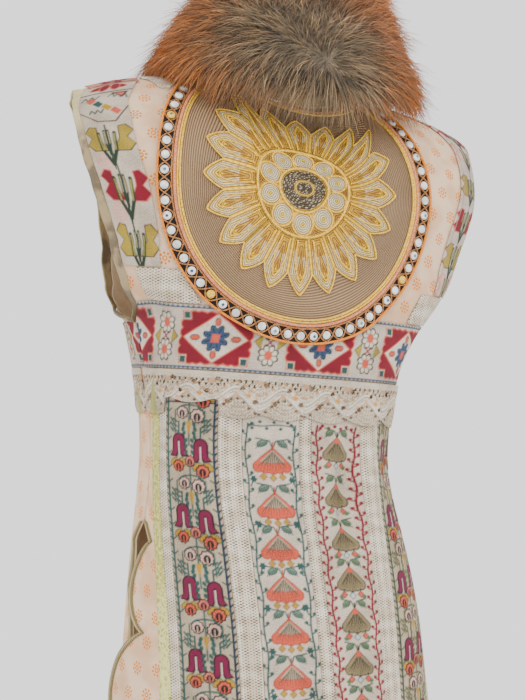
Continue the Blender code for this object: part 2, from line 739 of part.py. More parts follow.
def neck_curve(points):
    """Reads the neck edge at any share of its length, with the outward direction there."""
    points = np.array(points)
    lengths = np.concatenate([[0], np.cumsum(np.linalg.norm(np.diff(points, axis=0), axis=1))])
    shares = lengths / lengths[-1]
    middle = np.array([NECK_CENTRE_X, 0.0])

    def read(share):
        point = np.array([np.interp(share, shares, points[:, k]) for k in range(3)])
        away = point[:2] - middle
        return point, away / np.linalg.norm(away)

    return shares, read


def collar_band(shares, read):
    """A thin stand that rises from the neck seam, under the fur."""
    mesh = bmesh.new()
    steps = len(shares) - 1
    bmesh.ops.create_grid(mesh, x_segments=steps, y_segments=2, size=0.5)
    raised = bmesh.ops.extrude_face_region(mesh, geom=mesh.faces[:])
    for part in raised["geom"]:
        if isinstance(part, bmesh.types.BMVert):
            part.co.z = 1
    for vert in mesh.verts:
        point, away = read(shares[round((vert.co.x + 0.5) * steps)])
        out = -CLOTH / 2 + CLOTH * vert.co.z
        rise = CLOTH / 2 + 0.0006 + COLLAR_BAND_HEIGHT * (vert.co.y + 0.5)
        vert.co = (point[0] + away[0] * out, point[1] + away[1] * out, point[2] + rise)
    finish("collar_band", mesh, SATIN)


# Section of the fur at the centre back: share of the reach outwards and of the height
FUR_SECTION_COLUMNS = ("out", "up")
FUR_SECTION = (
    (0.00, 0.09), (0.00, 0.30), (0.00, 0.52), (0.02, 0.72), (0.08, 0.89), (0.20, 0.99), (0.33, 0.97),
    (0.45, 0.87), (0.56, 0.73), (0.68, 0.55), (0.82, 0.35), (1.00, 0.11), (0.95, 0.00), (0.66, 0.00),
    (0.36, 0.03), (0.12, 0.06),
)
# How far the outer fur hangs below the neck seam, and how far out and up it goes, by share of the neck edge
FUR_FALL_COLUMNS = ("share of the neck edge", "droop", "reach", "height")
FUR_FALL = (
    (0.00, 0.000, 0.026, 0.040),
    (0.15, 0.002, 0.046, 0.052),
    (0.30, 0.000, 0.080, 0.086),
    (0.40, 0.006, 0.087, 0.122),
    (0.50, 0.014, 0.088, 0.138),
    (0.70, 0.016, 0.080, 0.122),
    (0.85, 0.004, 0.054, 0.074),
    (1.00, 0.000, 0.026, 0.040),
)


def fur_collar(read):
    """The fur collar: a deep roll that lies against the stand and reaches as far as the fur does."""
    mesh = bmesh.new()
    around_steps, along_steps = len(FUR_SECTION), 26
    bmesh.ops.create_uvsphere(mesh, u_segments=around_steps, v_segments=along_steps, radius=1.0)
    for vert in mesh.verts:
        lean = math.acos(max(-1.0, min(1.0, vert.co.z))) / math.pi
        swell = math.sqrt(max(vert.co.x**2 + vert.co.y**2, 0)) ** 0.5
        k = round(math.atan2(vert.co.y, vert.co.x) / (2 * math.pi) * around_steps) % around_steps
        t = lerp(0.03, 0.97, lean)
        point, away = read(t)
        droop, reach, tall = [float(smooth_curve(t, [r[0] for r in FUR_FALL], [r[k] for r in FUR_FALL]))
                              for k in (1, 2, 3)]
        tuft = 1 + 0.025 * math.sin(3.1 * k + 37 * t)
        out, up = FUR_SECTION[k]
        rise = 0.0085 + (tall * up * tuft - droop * out * (1 - up)) * swell
        out = CLOTH / 2 + 0.0024 + reach * out * tuft * swell
        vert.co = (point[0] + away[0] * out, point[1] + away[1] * out, point[2] + rise)
    finish("fur_collar", mesh, FUR)


for old in list(bpy.data.objects):
    bpy.data.objects.remove(old)
PARTS = bpy.data.collections.new("folk_vest")
bpy.context.scene.collection.children.link(PARTS)

back_panel("back_panel_skirt", HEM, HIP_SEAM)
back_panel("back_panel_waist", HIP_SEAM, WAIST_SEAM)
back_panel("back_panel_chest", WAIST_SEAM, SHOULDER)
for hand, hand_name in ((1, "left"), (-1, "right")):
    front_panel(hand, f"front_panel_skirt_{hand_name}", HEM, WAIST_SEAM)
    front_panel(hand, f"front_panel_chest_{hand_name}", WAIST_SEAM, SHOULDER)
waist_bands()
skirt_strips()
shoulder_pieces()
medal()
bead_ring()
facings()
hem_and_edges()
neck_shares, read_neck = neck_curve(neck_points())
collar_band(neck_shares, read_neck)
fur_collar(read_neck)
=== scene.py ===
import math

import bmesh
import bpy
import numpy as np
from mathutils import Matrix, Vector


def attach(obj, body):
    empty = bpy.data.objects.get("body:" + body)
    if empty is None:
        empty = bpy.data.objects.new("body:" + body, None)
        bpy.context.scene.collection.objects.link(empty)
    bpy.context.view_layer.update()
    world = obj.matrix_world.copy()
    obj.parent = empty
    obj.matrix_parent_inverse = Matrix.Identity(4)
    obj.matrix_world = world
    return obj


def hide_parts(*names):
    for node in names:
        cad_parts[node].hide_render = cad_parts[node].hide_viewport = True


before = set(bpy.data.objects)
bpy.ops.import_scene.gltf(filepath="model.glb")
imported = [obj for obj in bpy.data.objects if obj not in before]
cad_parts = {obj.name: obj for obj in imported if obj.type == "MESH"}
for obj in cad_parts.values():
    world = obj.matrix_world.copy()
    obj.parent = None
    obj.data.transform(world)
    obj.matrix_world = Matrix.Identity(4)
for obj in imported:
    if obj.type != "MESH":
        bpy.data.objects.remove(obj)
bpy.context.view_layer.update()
print("frame loaded")

# Camera: behind the wearer's left shoulder, level with the middle of the back
cameraSpec = {"azimuth": 155, "distance": 2.6, "pictureHeight": 0.700, "centre": (-0.0035, -0.255)}


def makeCamera(spec):
    turn = math.radians(spec["azimuth"])
    towards = Vector((math.sin(turn), -math.cos(turn), 0))
    camera = bpy.data.objects.new("camera", bpy.data.cameras.new("camera"))
    bpy.context.scene.collection.objects.link(camera)
    camera.rotation_mode = "QUATERNION"
    camera.rotation_quaternion = (-towards).to_track_quat("-Z", "Y")
    right = camera.rotation_quaternion @ Vector((1, 0, 0))
    target = right * spec["centre"][0] + Vector((0, 0, spec["centre"][1]))
    camera.location = target + towards * spec["distance"]
    camera.data.sensor_width = 36
    camera.data.lens = 36 * spec["distance"] / spec["pictureHeight"]
    bpy.context.scene.camera = camera


makeCamera(cameraSpec)

# The garment surface. x is measured round the body from the centre line, to the viewer's right
# when that side is looked at, and height is the level, which goes on over the shoulder above the yoke.
back, front = 1, -1
hem, hemBraidTop, ventTop, stripTop = -0.760, -0.7483, -0.425, -0.320
laceTop, bandTop, underarm, yoke, yokeRise = -0.281, -0.221, -0.238, -0.110, 0.169
shoulder = yoke + yokeRise
rings = np.array((  # height, half width, back depth, front depth, shift, tilt
    (-0.800, 0.166, 0.143, 0.126, -0.004, 0.0),
    (-0.700, 0.157, 0.138, 0.120, -0.005, 0.0),
    (-0.600, 0.149, 0.131, 0.112, -0.005, 0.3),
    (-0.520, 0.144, 0.120, 0.106, -0.004, 1.0),
    (-0.450, 0.135, 0.107, 0.101, -0.001, 2.0),
    (-0.400, 0.126, 0.098, 0.098, 0.002, 2.8),
    (-0.355, 0.122, 0.094, 0.097, 0.003, 3.4),
    (-0.300, 0.126, 0.097, 0.102, 0.002, 4.0),
    (-0.260, 0.134, 0.101, 0.108, 0.000, 4.4),
    (-0.235, 0.145, 0.105, 0.111, -0.003, 4.6),
    (-0.210, 0.168, 0.106, 0.110, 0.000, 4.7),
    (-0.180, 0.186, 0.106, 0.106, -0.001, 4.8),
    (-0.140, 0.200, 0.106, 0.097, -0.003, 5.0),
    (-0.110, 0.210, 0.105, 0.090, -0.005, 5.2),
    (0.000, 0.2170, 0.105, 0.084, -0.009, 5.5),
    (0.059, 0.2185, 0.105, 0.084, -0.011, 5.5),
))
armhole = np.array((  # height, back angle, front angle
    (-0.238, 90, 90), (-0.224, 77, 54), (-0.200, 69, 43), (-0.165, 66, 39), (-0.110, 69, 39),
    (-0.040, 76, 52), (0.059, 90, 90),
))
backScallops = (  # height, inset, bow
    (-0.446, 0.017, 0.033), (-0.531, 0.022, 0.048), (-0.650, 0.010, 0.045), (-0.748, 0.008, 0.020),
    (-0.790, 0.008, 0.0),
)
frontScallops = (
    (-0.446, 0.021, 0.006), (-0.490, 0.024, 0.015), (-0.585, 0.022, 0.015), (-0.680, 0.022, 0.015),
    (-0.775, 0.022, 0.0),
)
creases = {  # distance from the centre, level, half width, half length, depth, lean
    back: (
        (-0.044, -0.392, 0.0120, 0.048, 0.0115, -0.12), (-0.074, -0.392, 0.0150, 0.050, -0.0035, -0.10),
        (0.058, -0.362, 0.0120, 0.050, 0.0035, 0.10), (-0.110, -0.365, 0.0160, 0.035, 0.0040, 0.05),
        (0.120, -0.395, 0.0150, 0.050, 0.0030, -0.05), (0.165, -0.225, 0.0200, 0.030, 0.0030, 0.50),
        (-0.165, -0.225, 0.0200, 0.030, 0.0030, -0.50), (0.150, -0.150, 0.0070, 0.045, 0.0012, 0.25),
        (-0.155, -0.140, 0.0070, 0.045, 0.0012, -0.20), (0.030, -0.520, 0.0100, 0.060, 0.0016, 0.04),
        (-0.078, -0.560, 0.0100, 0.070, 0.0018, -0.05), (0.100, -0.470, 0.0080, 0.040, 0.0014, 0.20),
    ),
    front: (
        (0.095, -0.372, 0.0140, 0.050, 0.0055, 0.08), (-0.085, -0.380, 0.0140, 0.055, 0.0060, -0.08),
        (0.045, -0.300, 0.0170, 0.060, 0.0035, 0.05), (-0.140, -0.345, 0.0140, 0.045, 0.0040, 0.05),
        (0.060, -0.550, 0.0110, 0.080, 0.0018, 0.05), (-0.055, -0.540, 0.0110, 0.080, 0.0018, -0.05),
        (0.090, -0.160, 0.0090, 0.050, 0.0014, -0.20), (-0.090, -0.150, 0.0090, 0.050, 0.0014, 0.20),
    ),
}
skirtWaves = {back: (5.0, 0.0050), front: (6.0, 0.0055)}
ventFlare = {back: 0.015, front: 0.0}
neckHalfWidth, neckDrop = 0.068, {back: 0.066, front: 0.128}
facingWidth, braidWidth, frontGap, seam, clothThickness = 0.013, 0.008, 0.009, 0.0003, 0.0016


def smoothCurve(x, xs, ys):
    xs, ys = np.asarray(xs, float), np.asarray(ys, float)
    slope = np.gradient(ys, xs)
    x = np.clip(x, xs[0], xs[-1])
    k = np.clip(np.searchsorted(xs, x) - 1, 0, len(xs) - 2)
    step = xs[k + 1] - xs[k]
    t = (x - xs[k]) / step
    start = (1 + 2 * t) * (1 - t) ** 2 * ys[k] + t * (1 - t) ** 2 * step * slope[k]
    return start + t * t * (3 - 2 * t) * ys[k + 1] + t * t * (t - 1) * step * slope[k + 1]


def ease(x, start, end):
    t = np.clip((np.asarray(x, float) - start) / (end - start), 0, 1)
    return t * t * (3 - 2 * t)


def mixed(a, b, t):
    return a + (b - a) * t


def ringPoint(side, angle, height):
    square = 0.045
    turn = np.clip((height - yoke) / yokeRise, 0, 1.2) * math.pi / 2
    near, far = (2, 3) if side == back else (3, 2)
    nearDepth = smoothCurve(height, rings[:, 0], rings[:, near])
    farDepth = smoothCurve(height, rings[:, 0], rings[:, far])
    x = smoothCurve(height, rings[:, 0], rings[:, 1])
    x = x * (np.sin(angle) + square * np.sin(3 * angle)) / (1 - square)
    y = (np.cos(angle) - square * np.cos(3 * angle)) / (1 - square)
    return x, side * y * np.where(y > 0, nearDepth, farDepth) * np.cos(turn)


def arcTable(side):
    heights = np.linspace(hem - 0.03, shoulder + 0.004, 160)
    angles = np.linspace(0, math.radians(150), 120)
    x, y = ringPoint(side, angles[None, :], heights[:, None])
    step = np.hypot(np.diff(x, axis=1), np.diff(y, axis=1))
    return heights, angles, np.concatenate([np.zeros((160, 1)), np.cumsum(step, axis=1)], axis=1)


arcs = {back: arcTable(back), front: arcTable(front)}


def angleAt(side, across, height):
    heights, angles, lengths = arcs[side]
    level = np.clip((height - heights[0]) / (heights[1] - heights[0]), 0, 158.999)
    low = level.astype(int)
    found = np.zeros((2, len(level)))
    for row in np.unique(low):
        here = low == row
        for k in (0, 1):
            found[k, here] = np.interp(np.abs(across[here]), lengths[row + k], angles)
    part = level - low
    return np.sign(across) * (found[0] * (1 - part) + found[1] * part)


def distanceAt(side, angle, height):
    heights, angles, lengths = arcs[side]
    level = float(np.clip((height - heights[0]) / (heights[1] - heights[0]), 0, 158.999))
    low, part = int(level), level - int(level)
    below, above = [np.interp(angle, angles, lengths[k]) for k in (low, low + 1)]
    return float(mixed(below, above, part))


def formPoint(side, across, height):
    angle = angleAt(side, across, height)
    x, y = ringPoint(side, angle, height)
    rise = np.sin(np.clip((height - yoke) / yokeRise, 0, 1.2) * math.pi / 2)
    ridge = 0.004 - 1.35 * np.clip(np.abs(x) - neckHalfWidth, 0, 1) ** 2
    z = np.where(height > yoke, yoke + rise * (ridge - yoke), height)
    tilt = np.tan(np.radians(smoothCurve(height, rings[:, 0], rings[:, 5])))
    return np.stack([x + smoothCurve(height, rings[:, 0], rings[:, 4]), y, z + tilt * x], axis=-1)


def outward(side, across, height, point):
    d = 0.0005
    around = point(side, across + d, height) - point(side, across - d, height)
    up = point(side, across, height + d) - point(side, across, height - d)
    normal = np.cross(around, up) * -side
    return normal / np.linalg.norm(normal, axis=-1, keepdims=True)


def drape(side, across, height):
    out = np.zeros_like(across)
    for at, level, width, length, depth, lean in creases[side]:
        along = height - level
        out = out - depth * np.exp(-(((across - at - lean * along) / width) ** 2) - (along / length) ** 2)
    waves, depth = skirtWaves[side]
    loose = ease(-height, 0.47, 0.78)
    out = out + depth * loose * np.cos(across / 0.22 * waves * math.pi / 2 + 0.6)
    nearVent = ease(np.abs(across), 0.150, 0.240) * ease(-height, 0.44, 0.60)
    return out + ventFlare[side] * nearVent


def drapedPoint(side, across, height):
    normal = outward(side, across, height, formPoint)
    return formPoint(side, across, height) + normal * drape(side, across, height)[:, None]


def clothPoint(side, across, height, lift=0.0):
    across, height = np.asarray(across, float), np.asarray(height, float)
    normal = outward(side, across, height, drapedPoint)
    return drapedPoint(side, across, height) + normal * np.reshape(lift, (-1, 1))


def neckline(side, across):
    inside = np.minimum(np.abs(across) / neckHalfWidth, 1)
    return shoulder - seam / 2 - neckDrop[side] * np.sqrt(1 - inside**2)


def scallopReach(side, height):
    scallops = backScallops if side == back else frontScallops
    if height > scallops[0][0]:
        return -scallops[0][1] * (ventTop - height) / (ventTop - scallops[0][0])
    k = max(n for n in range(len(scallops) - 1) if height <= scallops[n][0])
    (top, inset, bow), (bottom, nextInset, _) = scallops[k], scallops[k + 1]
    part = (top - height) / (top - bottom)
    return -inset + (inset - nextInset) * part + bow * max(math.sin(math.pi * part), 0) ** 0.7


def sideEdge(side, height):
    if height >= underarm:
        angle = np.interp(height, armhole[:, 0], armhole[:, 1 if side == back else 2])
        edge = distanceAt(side, math.radians(angle), height)
        room = (facingWidth + 0.0015) * float(ease(height, yoke, -0.03))
        return min(edge, distanceAt(side, math.pi / 2, height) - room) - seam / 2
    edge = distanceAt(side, math.pi / 2, height) - seam / 2
    return edge if height > ventTop else edge + scallopReach(side, height)


edgeHeights = np.linspace(hem, shoulder, 700)
edgeTables = {side: np.array([sideEdge(side, h) for h in edgeHeights]) for side in (back, front)}


def edgeAt(side, height):
    return np.interp(height, edgeHeights, edgeTables[side])


# Shader maths: a Field is a socket that Python operators work on
class Field:
    def __init__(self, finish, socket):
        self.finish, self.socket = finish, socket

    def math(self, operation, *others):
        return self.finish.node("ShaderNodeMath", {"operation": operation}, [self, *others])

    def __add__(self, other):
        return self.math("ADD", other)

    __radd__ = __add__

    def __sub__(self, other):
        return self.math("SUBTRACT", other)

    def __rsub__(self, other):
        return self.finish.node("ShaderNodeMath", {"operation": "SUBTRACT"}, [other, self])

    def __mul__(self, other):
        return self.math("MULTIPLY", other)

    def __truediv__(self, other):
        return self.math("DIVIDE", other)

    def __mod__(self, other):
        return self.math("FLOORED_MODULO", other)


class Finish:
    def __init__(self, name, **sockets):
        self.material = bpy.data.materials.new(name)
        self.material.use_nodes = True
        self.tree = self.material.node_tree
        self.surface = self.tree.nodes["Principled BSDF"]
        for socket, value in sockets.items():
            self.surface.inputs[socket.replace("_", " ")].default_value = value

    def node(self, kind, settings=None, inputs=(), out=0):
        made = self.tree.nodes.new(kind)
        for name, value in (settings or {}).items():
            setattr(made, name, value)
        pairs = inputs.items() if isinstance(inputs, dict) else enumerate(inputs)
        for key, value in pairs:
            if isinstance(value, Field):
                self.tree.links.new(value.socket, made.inputs[key])
            else:
                made.inputs[key].default_value = value
        return Field(self, made.outputs[out])

    def feed(self, socket, value):
        self.tree.links.new(value.socket, self.surface.inputs[socket])

    def attribute(self, name, out="Vector"):
        return self.node("ShaderNodeAttribute", {"attribute_name": name}, out=out)

    def flatPlace(self):  # the cloth's own millimetres, across and along
        return [self.node("ShaderNodeSeparateXYZ", None, [self.attribute("flat")], out=k) for k in (0, 1)]

    def noise(self, scale, detail, vector=None):
        inputs = {"Vector": vector or self.attribute("flat"), "Scale": scale, "Detail": detail}
        return self.node("ShaderNodeTexNoise", None, inputs)

    def blend(self, share, a, b, kind="MIX"):
        settings = {"data_type": "RGBA", "blend_type": kind}
        return self.node("ShaderNodeMix", settings, {0: share, 6: a, 7: b}, out=2)

    def soft(self, value, low, high):
        settings = {"interpolation_type": "SMOOTHSTEP"}
        return self.node("ShaderNodeMapRange", settings, {"Value": value, "From Min": low, "From Max": high})

    def bump(self, height, depth):
        inputs = {"Strength": 1.0, "Distance": depth, "Height": height}
        self.feed("Normal", self.node("ShaderNodeBump", None, inputs))


colourDepth = {"gamma": 1.32, "fullness": 1.02, "brightness": 0.98}


def shade(r, g, b):  # a screen colour, 0 to 255, as a linear one, a little deeper and fuller
    values = [v / 255 for v in (r, g, b)]
    linear = [v / 12.92 if v <= 0.04045 else ((v + 0.055) / 1.055) ** 2.4 for v in values]
    deep = [v ** colourDepth["gamma"] * colourDepth["brightness"] for v in linear]
    grey = 0.3 * deep[0] + 0.6 * deep[1] + 0.1 * deep[2]
    return tuple(max(grey + (v - grey) * colourDepth["fullness"], 0.0) for v in deep)


def opaque(colour):
    return (*colour, 1.0)


def ink(*colour):
    return opaque(shade(*colour))


# Cloth pieces
def addObject(name, mesh, finish, replaced=()):
    made = bpy.data.objects.new(name, mesh)
    bpy.context.scene.collection.objects.link(made)
    mesh.materials.clear()
    mesh.materials.append(finish.material)
    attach(made, "root")
    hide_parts(*replaced)
    return made


def setAttribute(mesh, name, kind, values):
    attribute = mesh.attributes.new(name, kind, "POINT")
    field = "color" if kind == "FLOAT_COLOR" else "vector"
    attribute.data.foreach_set(field, np.asarray(values, np.float32).ravel())


def meshPlaces(mesh):
    flat = np.zeros(len(mesh.vertices) * 3, np.float32)
    mesh.vertices.foreach_get("co", flat)
    return flat.reshape(-1, 3).astype(float)


def placeMesh(mesh, points):
    mesh.vertices.foreach_set("co", np.asarray(points, np.float32).ravel())
    mesh.update()


def setPaint(mesh, colours):
    setAttribute(mesh, "paint", "FLOAT_COLOR", np.column_stack([colours, np.ones(len(colours))]))


def setFlat(mesh, across, along):
    setAttribute(mesh, "flat", "FLOAT_VECTOR", np.column_stack([across, along, np.zeros(len(across))]))


def intoMesh(name, work):
    mesh = bpy.data.meshes.new(name)
    work.to_mesh(mesh)
    work.free()
    return mesh


def makeGrid(columns, rows):
    grid = bmesh.new()
    bmesh.ops.create_grid(grid, x_segments=columns, y_segments=rows, size=0.5)
    return grid


def thicken(made, offset):
    thickness = made.modifiers.new("thickness", "SOLIDIFY")
    thickness.thickness, thickness.offset = clothThickness, offset
    return thickness


def layCloth(name, side, columns, rows, place, lift, finish, replaced, held="stretched",
             restsOn=("backPanel",), rim=0.0012, relief=None, holes=None, paint=None, own=None, lining=None):
    grid = makeGrid(columns, rows)
    if holes:
        middles = np.array([face.calc_center_median() for face in grid.faces])
        gone = holes(*place(middles[:, 0] + 0.5, middles[:, 1] + 0.5))
        cut = [face for face, out in zip(grid.faces[:], gone) if out]
        bmesh.ops.delete(grid, geom=cut, context="FACES")
    if rim:
        border = [edge for edge in grid.edges if edge.is_boundary]
        turned = bmesh.ops.extrude_edge_only(grid, edges=border)
        for part in turned["geom"]:
            if isinstance(part, bmesh.types.BMVert):
                part.co.z = -1
    mesh = intoMesh(name, grid)
    spots = meshPlaces(mesh)
    a, b = spots[:, 0] + 0.5, spots[:, 1] + 0.5
    x, height = place(a, b)
    flat = own(a, b, x, height) if own else (x * 1000, height * 1000)
    lifts = np.full(len(x), float(lift))
    if relief:
        lifts = lifts + relief(x, height, a, b)
    if paint:
        colours, raised = paint(*flat)
        lifts = lifts + raised
        setPaint(mesh, colours)
    lifts = np.where(spots[:, 2] < 0, lift - rim, lifts)
    setFlat(mesh, *flat)
    placeMesh(mesh, np.column_stack([x, height, np.zeros(len(x))]))
    area = sum(face.area for face in mesh.polygons if len(set(spots[list(face.vertices), 2])) == 1)
    placeMesh(mesh, clothPoint(side, -side * x, height, lifts))
    mesh.shade_smooth()
    made = addObject(name, mesh, finish, replaced)
    if lining:
        mesh.materials.append(lining.material)
        thickness = thicken(made, -1)
        thickness.material_offset = thickness.material_offset_rim = 1
    declareCloth(made, x, height, area, held, restsOn)
    return made


cloths = []  # piece, flat size, flat area, how it is held, what it lies on


def declareCloth(made, x, height, area, held, restsOn):
    wide, long = float(np.ptp(x)), float(np.ptp(height))
    size, cut = (wide, long), min(area, wide * long)
    if area <= 0.31 * wide * long:  # a narrow strip that follows a curved edge
        size, cut = (area / max(wide, long), max(wide, long)), None
    cloths.append((made, size, cut, held, restsOn))


def declareSheets():  # for each cloth 10 mm wide or more, finds the braids under 10 mm wide that are sewn to it, and does nothing more with them
    for made, size, cut, held, restsOn in cloths:
        if min(size) < 0.01:
            continue
        braids = [other for other, small, _, _, under in cloths if min(small) < 0.01 and made.name in under]


# Threads
thread = {
    "linen": (226, 214, 200), "cream": (238, 229, 214), "teal": (66, 112, 108), "navy": (38, 66, 92),
    "green": (58, 84, 66), "crimson": (158, 10, 62), "magenta": (150, 32, 92), "plum": (62, 18, 42),
    "coral": (228, 122, 98), "pink": (226, 142, 128), "blush": (236, 204, 190), "blue": (84, 110, 142),
    "olive": (196, 176, 84), "gold": (206, 170, 62), "khaki": (166, 152, 118), "black": (34, 30, 34),
    "brown": (112, 78, 58), "ice": (214, 226, 232),
}


def dyed(tint):  # a thread's name, or a screen colour
    return np.array(shade(*(thread[tint] if isinstance(tint, str) else tint)))


# Needlework: colours and a little height, worked shape by shape on a cloth's own millimetres
class Needlework:
    def __init__(self, x, y, ground):
        self.x, self.y = x, y
        self.colour = np.tile(dyed(ground), (len(x), 1))
        self.raised = np.zeros(len(x))

    def near(self, cx, cy, reach):
        return np.flatnonzero((np.abs(self.x - cx) < reach) & (np.abs(self.y - cy) < reach))

    def work(self, here, distance, tint, rise=0.0003, soft=0.45):
        cover = np.clip(0.5 - distance / (2 * soft), 0, 1)[:, None]
        self.colour[here] += (dyed(tint) - self.colour[here]) * cover
        self.raised[here] = np.maximum(self.raised[here], rise * cover[:, 0])

    def oval(self, cx, cy, rx, ry, tint, turn=0.0, rise=0.0003):
        here = self.near(cx, cy, max(rx, ry) + 2)
        dx, dy = self.x[here] - cx, self.y[here] - cy
        c, s = math.cos(math.radians(turn)), math.sin(math.radians(turn))
        u, v = dx * c + dy * s, dy * c - dx * s
        self.work(here, (np.hypot(u / rx, v / ry) - 1) * min(rx, ry), tint, rise)

    def flower(self, cx, cy, radius, petals, depth, tint, turn=0.0, rise=0.0003):
        here = self.near(cx, cy, radius + 3)
        dx, dy = self.x[here] - cx, self.y[here] - cy
        wave = np.abs(np.cos((np.arctan2(dy, dx) - math.radians(turn)) * petals / 2))
        self.work(here, np.hypot(dx, dy) - radius * (1 - depth + depth * wave), tint, rise)

    def shape(self, corners, tint, rise=0.0003):
        corners = np.array(corners, float)
        middle = (corners.max(0) + corners.min(0)) / 2
        here = self.near(*middle, np.ptp(corners, axis=0).max() / 2 + 2)
        p = np.column_stack([self.x[here], self.y[here]])
        distance, inside = np.full(len(here), 1e9), np.zeros(len(here), bool)
        for a, b in zip(corners, np.roll(corners, -1, axis=0)):
            along, to = b - a, p - a
            part = np.clip(to @ along / max(along @ along, 1e-9), 0, 1)
            distance = np.minimum(distance, np.hypot(*(to - part[:, None] * along).T))
            crosses = (a[1] > p[:, 1]) != (b[1] > p[:, 1])
            level = np.where(crosses, (p[:, 1] - a[1]) / (b[1] - a[1] + 1e-12), 0)
            inside ^= crosses & (p[:, 0] < a[0] + level * along[0])
        self.work(here, np.where(inside, -distance, distance), tint, rise)

    def line(self, points, width, tint, rise=0.0003):
        points = np.array(points, float)
        middle = (points.max(0) + points.min(0)) / 2
        here = self.near(*middle, np.ptp(points, axis=0).max() / 2 + width + 2)
        p, distance = np.column_stack([self.x[here], self.y[here]]), np.full(len(here), 1e9)
        for a, b in zip(points[:-1], points[1:]):
            along, to = b - a, p - a
            part = np.clip(to @ along / max(along @ along, 1e-9), 0, 1)
            distance = np.minimum(distance, np.hypot(*(to - part[:, None] * along).T))
        self.work(here, distance - width / 2, tint, rise)

    def spokes(self, cx, cy, near, far, width, tint, start=0.0):
        for k in range(8):
            c, s = math.cos((k + start) * math.pi / 4), math.sin((k + start) * math.pi / 4)
            self.line([(cx + near * c, cy + near * s), (cx + far * c, cy + far * s)], width, tint)

    def square(self, cx, cy, half, tint):
        self.shape([(cx - half, cy - half), (cx + half, cy - half), (cx + half, cy + half),
                    (cx - half, cy + half)], tint)

    def diamond(self, cx, cy, wide, tall, tint):
        self.shape([(cx - wide, cy), (cx, cy + tall), (cx + wide, cy), (cx, cy - tall)], tint)

    def done(self):
        return self.colour, self.raised


# Charts of the patterns, in millimetres


def bandWork(x, y):  # the crimson band: lobed fields with a blue flower, and pairs of white flowers
    work = Needlework(x, y, "linen")
    middle = (laceTop + bandTop) * 500
    for edge, away in ((laceTop * 1000 + 2.2, 1), (bandTop * 1000 - 2.2, -1)):
        work.line([(-320, edge), (320, edge)], 1.7, "blue")
        for k in range(-64, 65):
            work.oval(k * 5, edge - away * 1.2, 1.2, 1.0, "blue" if k % 3 else "teal")
    for k in range(-3, 5):
        cx, cy = -97 + 106 * k, middle
        for grow, tint in ((1.3, "coral"), (0, "crimson")):
            for sx in (-1, 1):
                for sy in (-1, 1):
                    work.shape([(cx, cy), (cx + sx * (33 + grow), cy), (cx + sx * (30 + grow), cy + sy * 13),
                                (cx + sx * 25, cy + sy * (23 + grow)), (cx, cy + sy * (23 + grow))], tint)
                for dy in (-12.5, -4.5, 4.5, 12.5):
                    work.oval(cx + sx * 30, cy + dy, 4.8 + grow, 4.4 + grow, tint)
                for dx in (6, 15, 22):
                    work.oval(cx + sx * dx, cy - 20, 4.6 + grow, 4.4 + grow, tint)
                    work.oval(cx + sx * dx, cy + 20, 4.6 + grow, 4.4 + grow, tint)
        work.diamond(cx, cy, 32, 24, "coral")
        work.diamond(cx, cy, 30, 22.5, "cream")
        for radius, tint in ((13.4, "plum"), (12.2, "blue")):
            work.flower(cx, cy, radius, 8, 0.34, tint, 22.5)
        work.spokes(cx, cy, 5.5, 9.5, 0.9, "plum", 0.5)
        for grow, tint in ((0.8, "plum"), (0, "coral")):
            for away in (-1, 1):
                work.oval(cx + away * 19.5, cy, 4.2 + grow, 2.3 + grow, tint)
                work.oval(cx, cy + away * 15.6, 2.3 + grow, 3.4 + grow, tint)
        work.square(cx, cy, 3.8, "coral")
        for sx in (-1, 1):
            for sy in (-1, 1):
                for half, tint in ((4.6, "coral"), (3.6, "cream"), (3.0, "teal")):
                    work.square(cx + sx * 29.5, cy + sy * 20.5, half, tint)
        nx = cx + 53
        for dy in (-12.5, 12.5):
            work.flower(nx, cy + dy, 11.2, 8, 0.26, "green", 22.5)
            work.flower(nx, cy + dy, 9.3, 8, 0.26, "cream", 22.5)
            work.spokes(nx, cy + dy, 4, 8.4, 0.8, "green")
            work.oval(nx, cy + dy, 3.9, 4.6, "coral")
        for lean in (-1, 1):
            work.line([(nx - 3, cy - 3 * lean), (nx + 3, cy + 3 * lean)], 1.4, "crimson")
            tip = nx + lean * 8
            for grow, tint in ((1.1, "green"), (0, "olive")):
                work.shape([(tip, cy + 6.5 + grow), (tip, cy - 6.5 - grow), (nx + lean * (15 + grow), cy)],
                           tint)
    return work.done()


def vine(work, at, low, high, tint, pitch=7.4, side=1, width=1.2):  # a wavy stem with hooked leaves
    steps = np.linspace(low, high, int((high - low) / 2.2))
    work.line([(at + 1.1 * math.sin(y / pitch * 0.9), y) for y in steps], width + 0.6, tint)
    for k, y in enumerate(np.arange(low + 2, high - 2, pitch)):
        lean = side if k % 2 else -side
        stem = at + 1.1 * math.sin(y / pitch * 0.9)
        work.line([(stem, y), (stem + lean * 3.0, y + 0.8), (stem + lean * 4.4, y + 3.0)], 1.5, tint)
        work.oval(stem + lean * 4.2, y + 3.0, 2.0, 1.8, tint)


def leafPair(work, cx, cy, tint, inner, reach=16.0):  # two hatched leaves that hang to the sides of a stem
    for lean in (-1, 1):
        work.line([(cx, cy - 5), (cx + lean * 3, cy + 3), (cx + lean * reach, cy + 5.5)], 1.5, tint)
        middle = (cx + lean * reach * 0.62, cy + 0.6)
        work.oval(*middle, reach * 0.36, 3.6, tint, -lean * 24)
        work.oval(*middle, reach * 0.29, 2.5, inner, -lean * 24)
        for k in range(5):
            px = cx + lean * reach * (0.36 + k * 0.13)
            work.line([(px - lean, cy + 3.4 - k * 0.8), (px + lean * 1.6, cy - 1.8 - k * 0.7)], 0.9, tint)


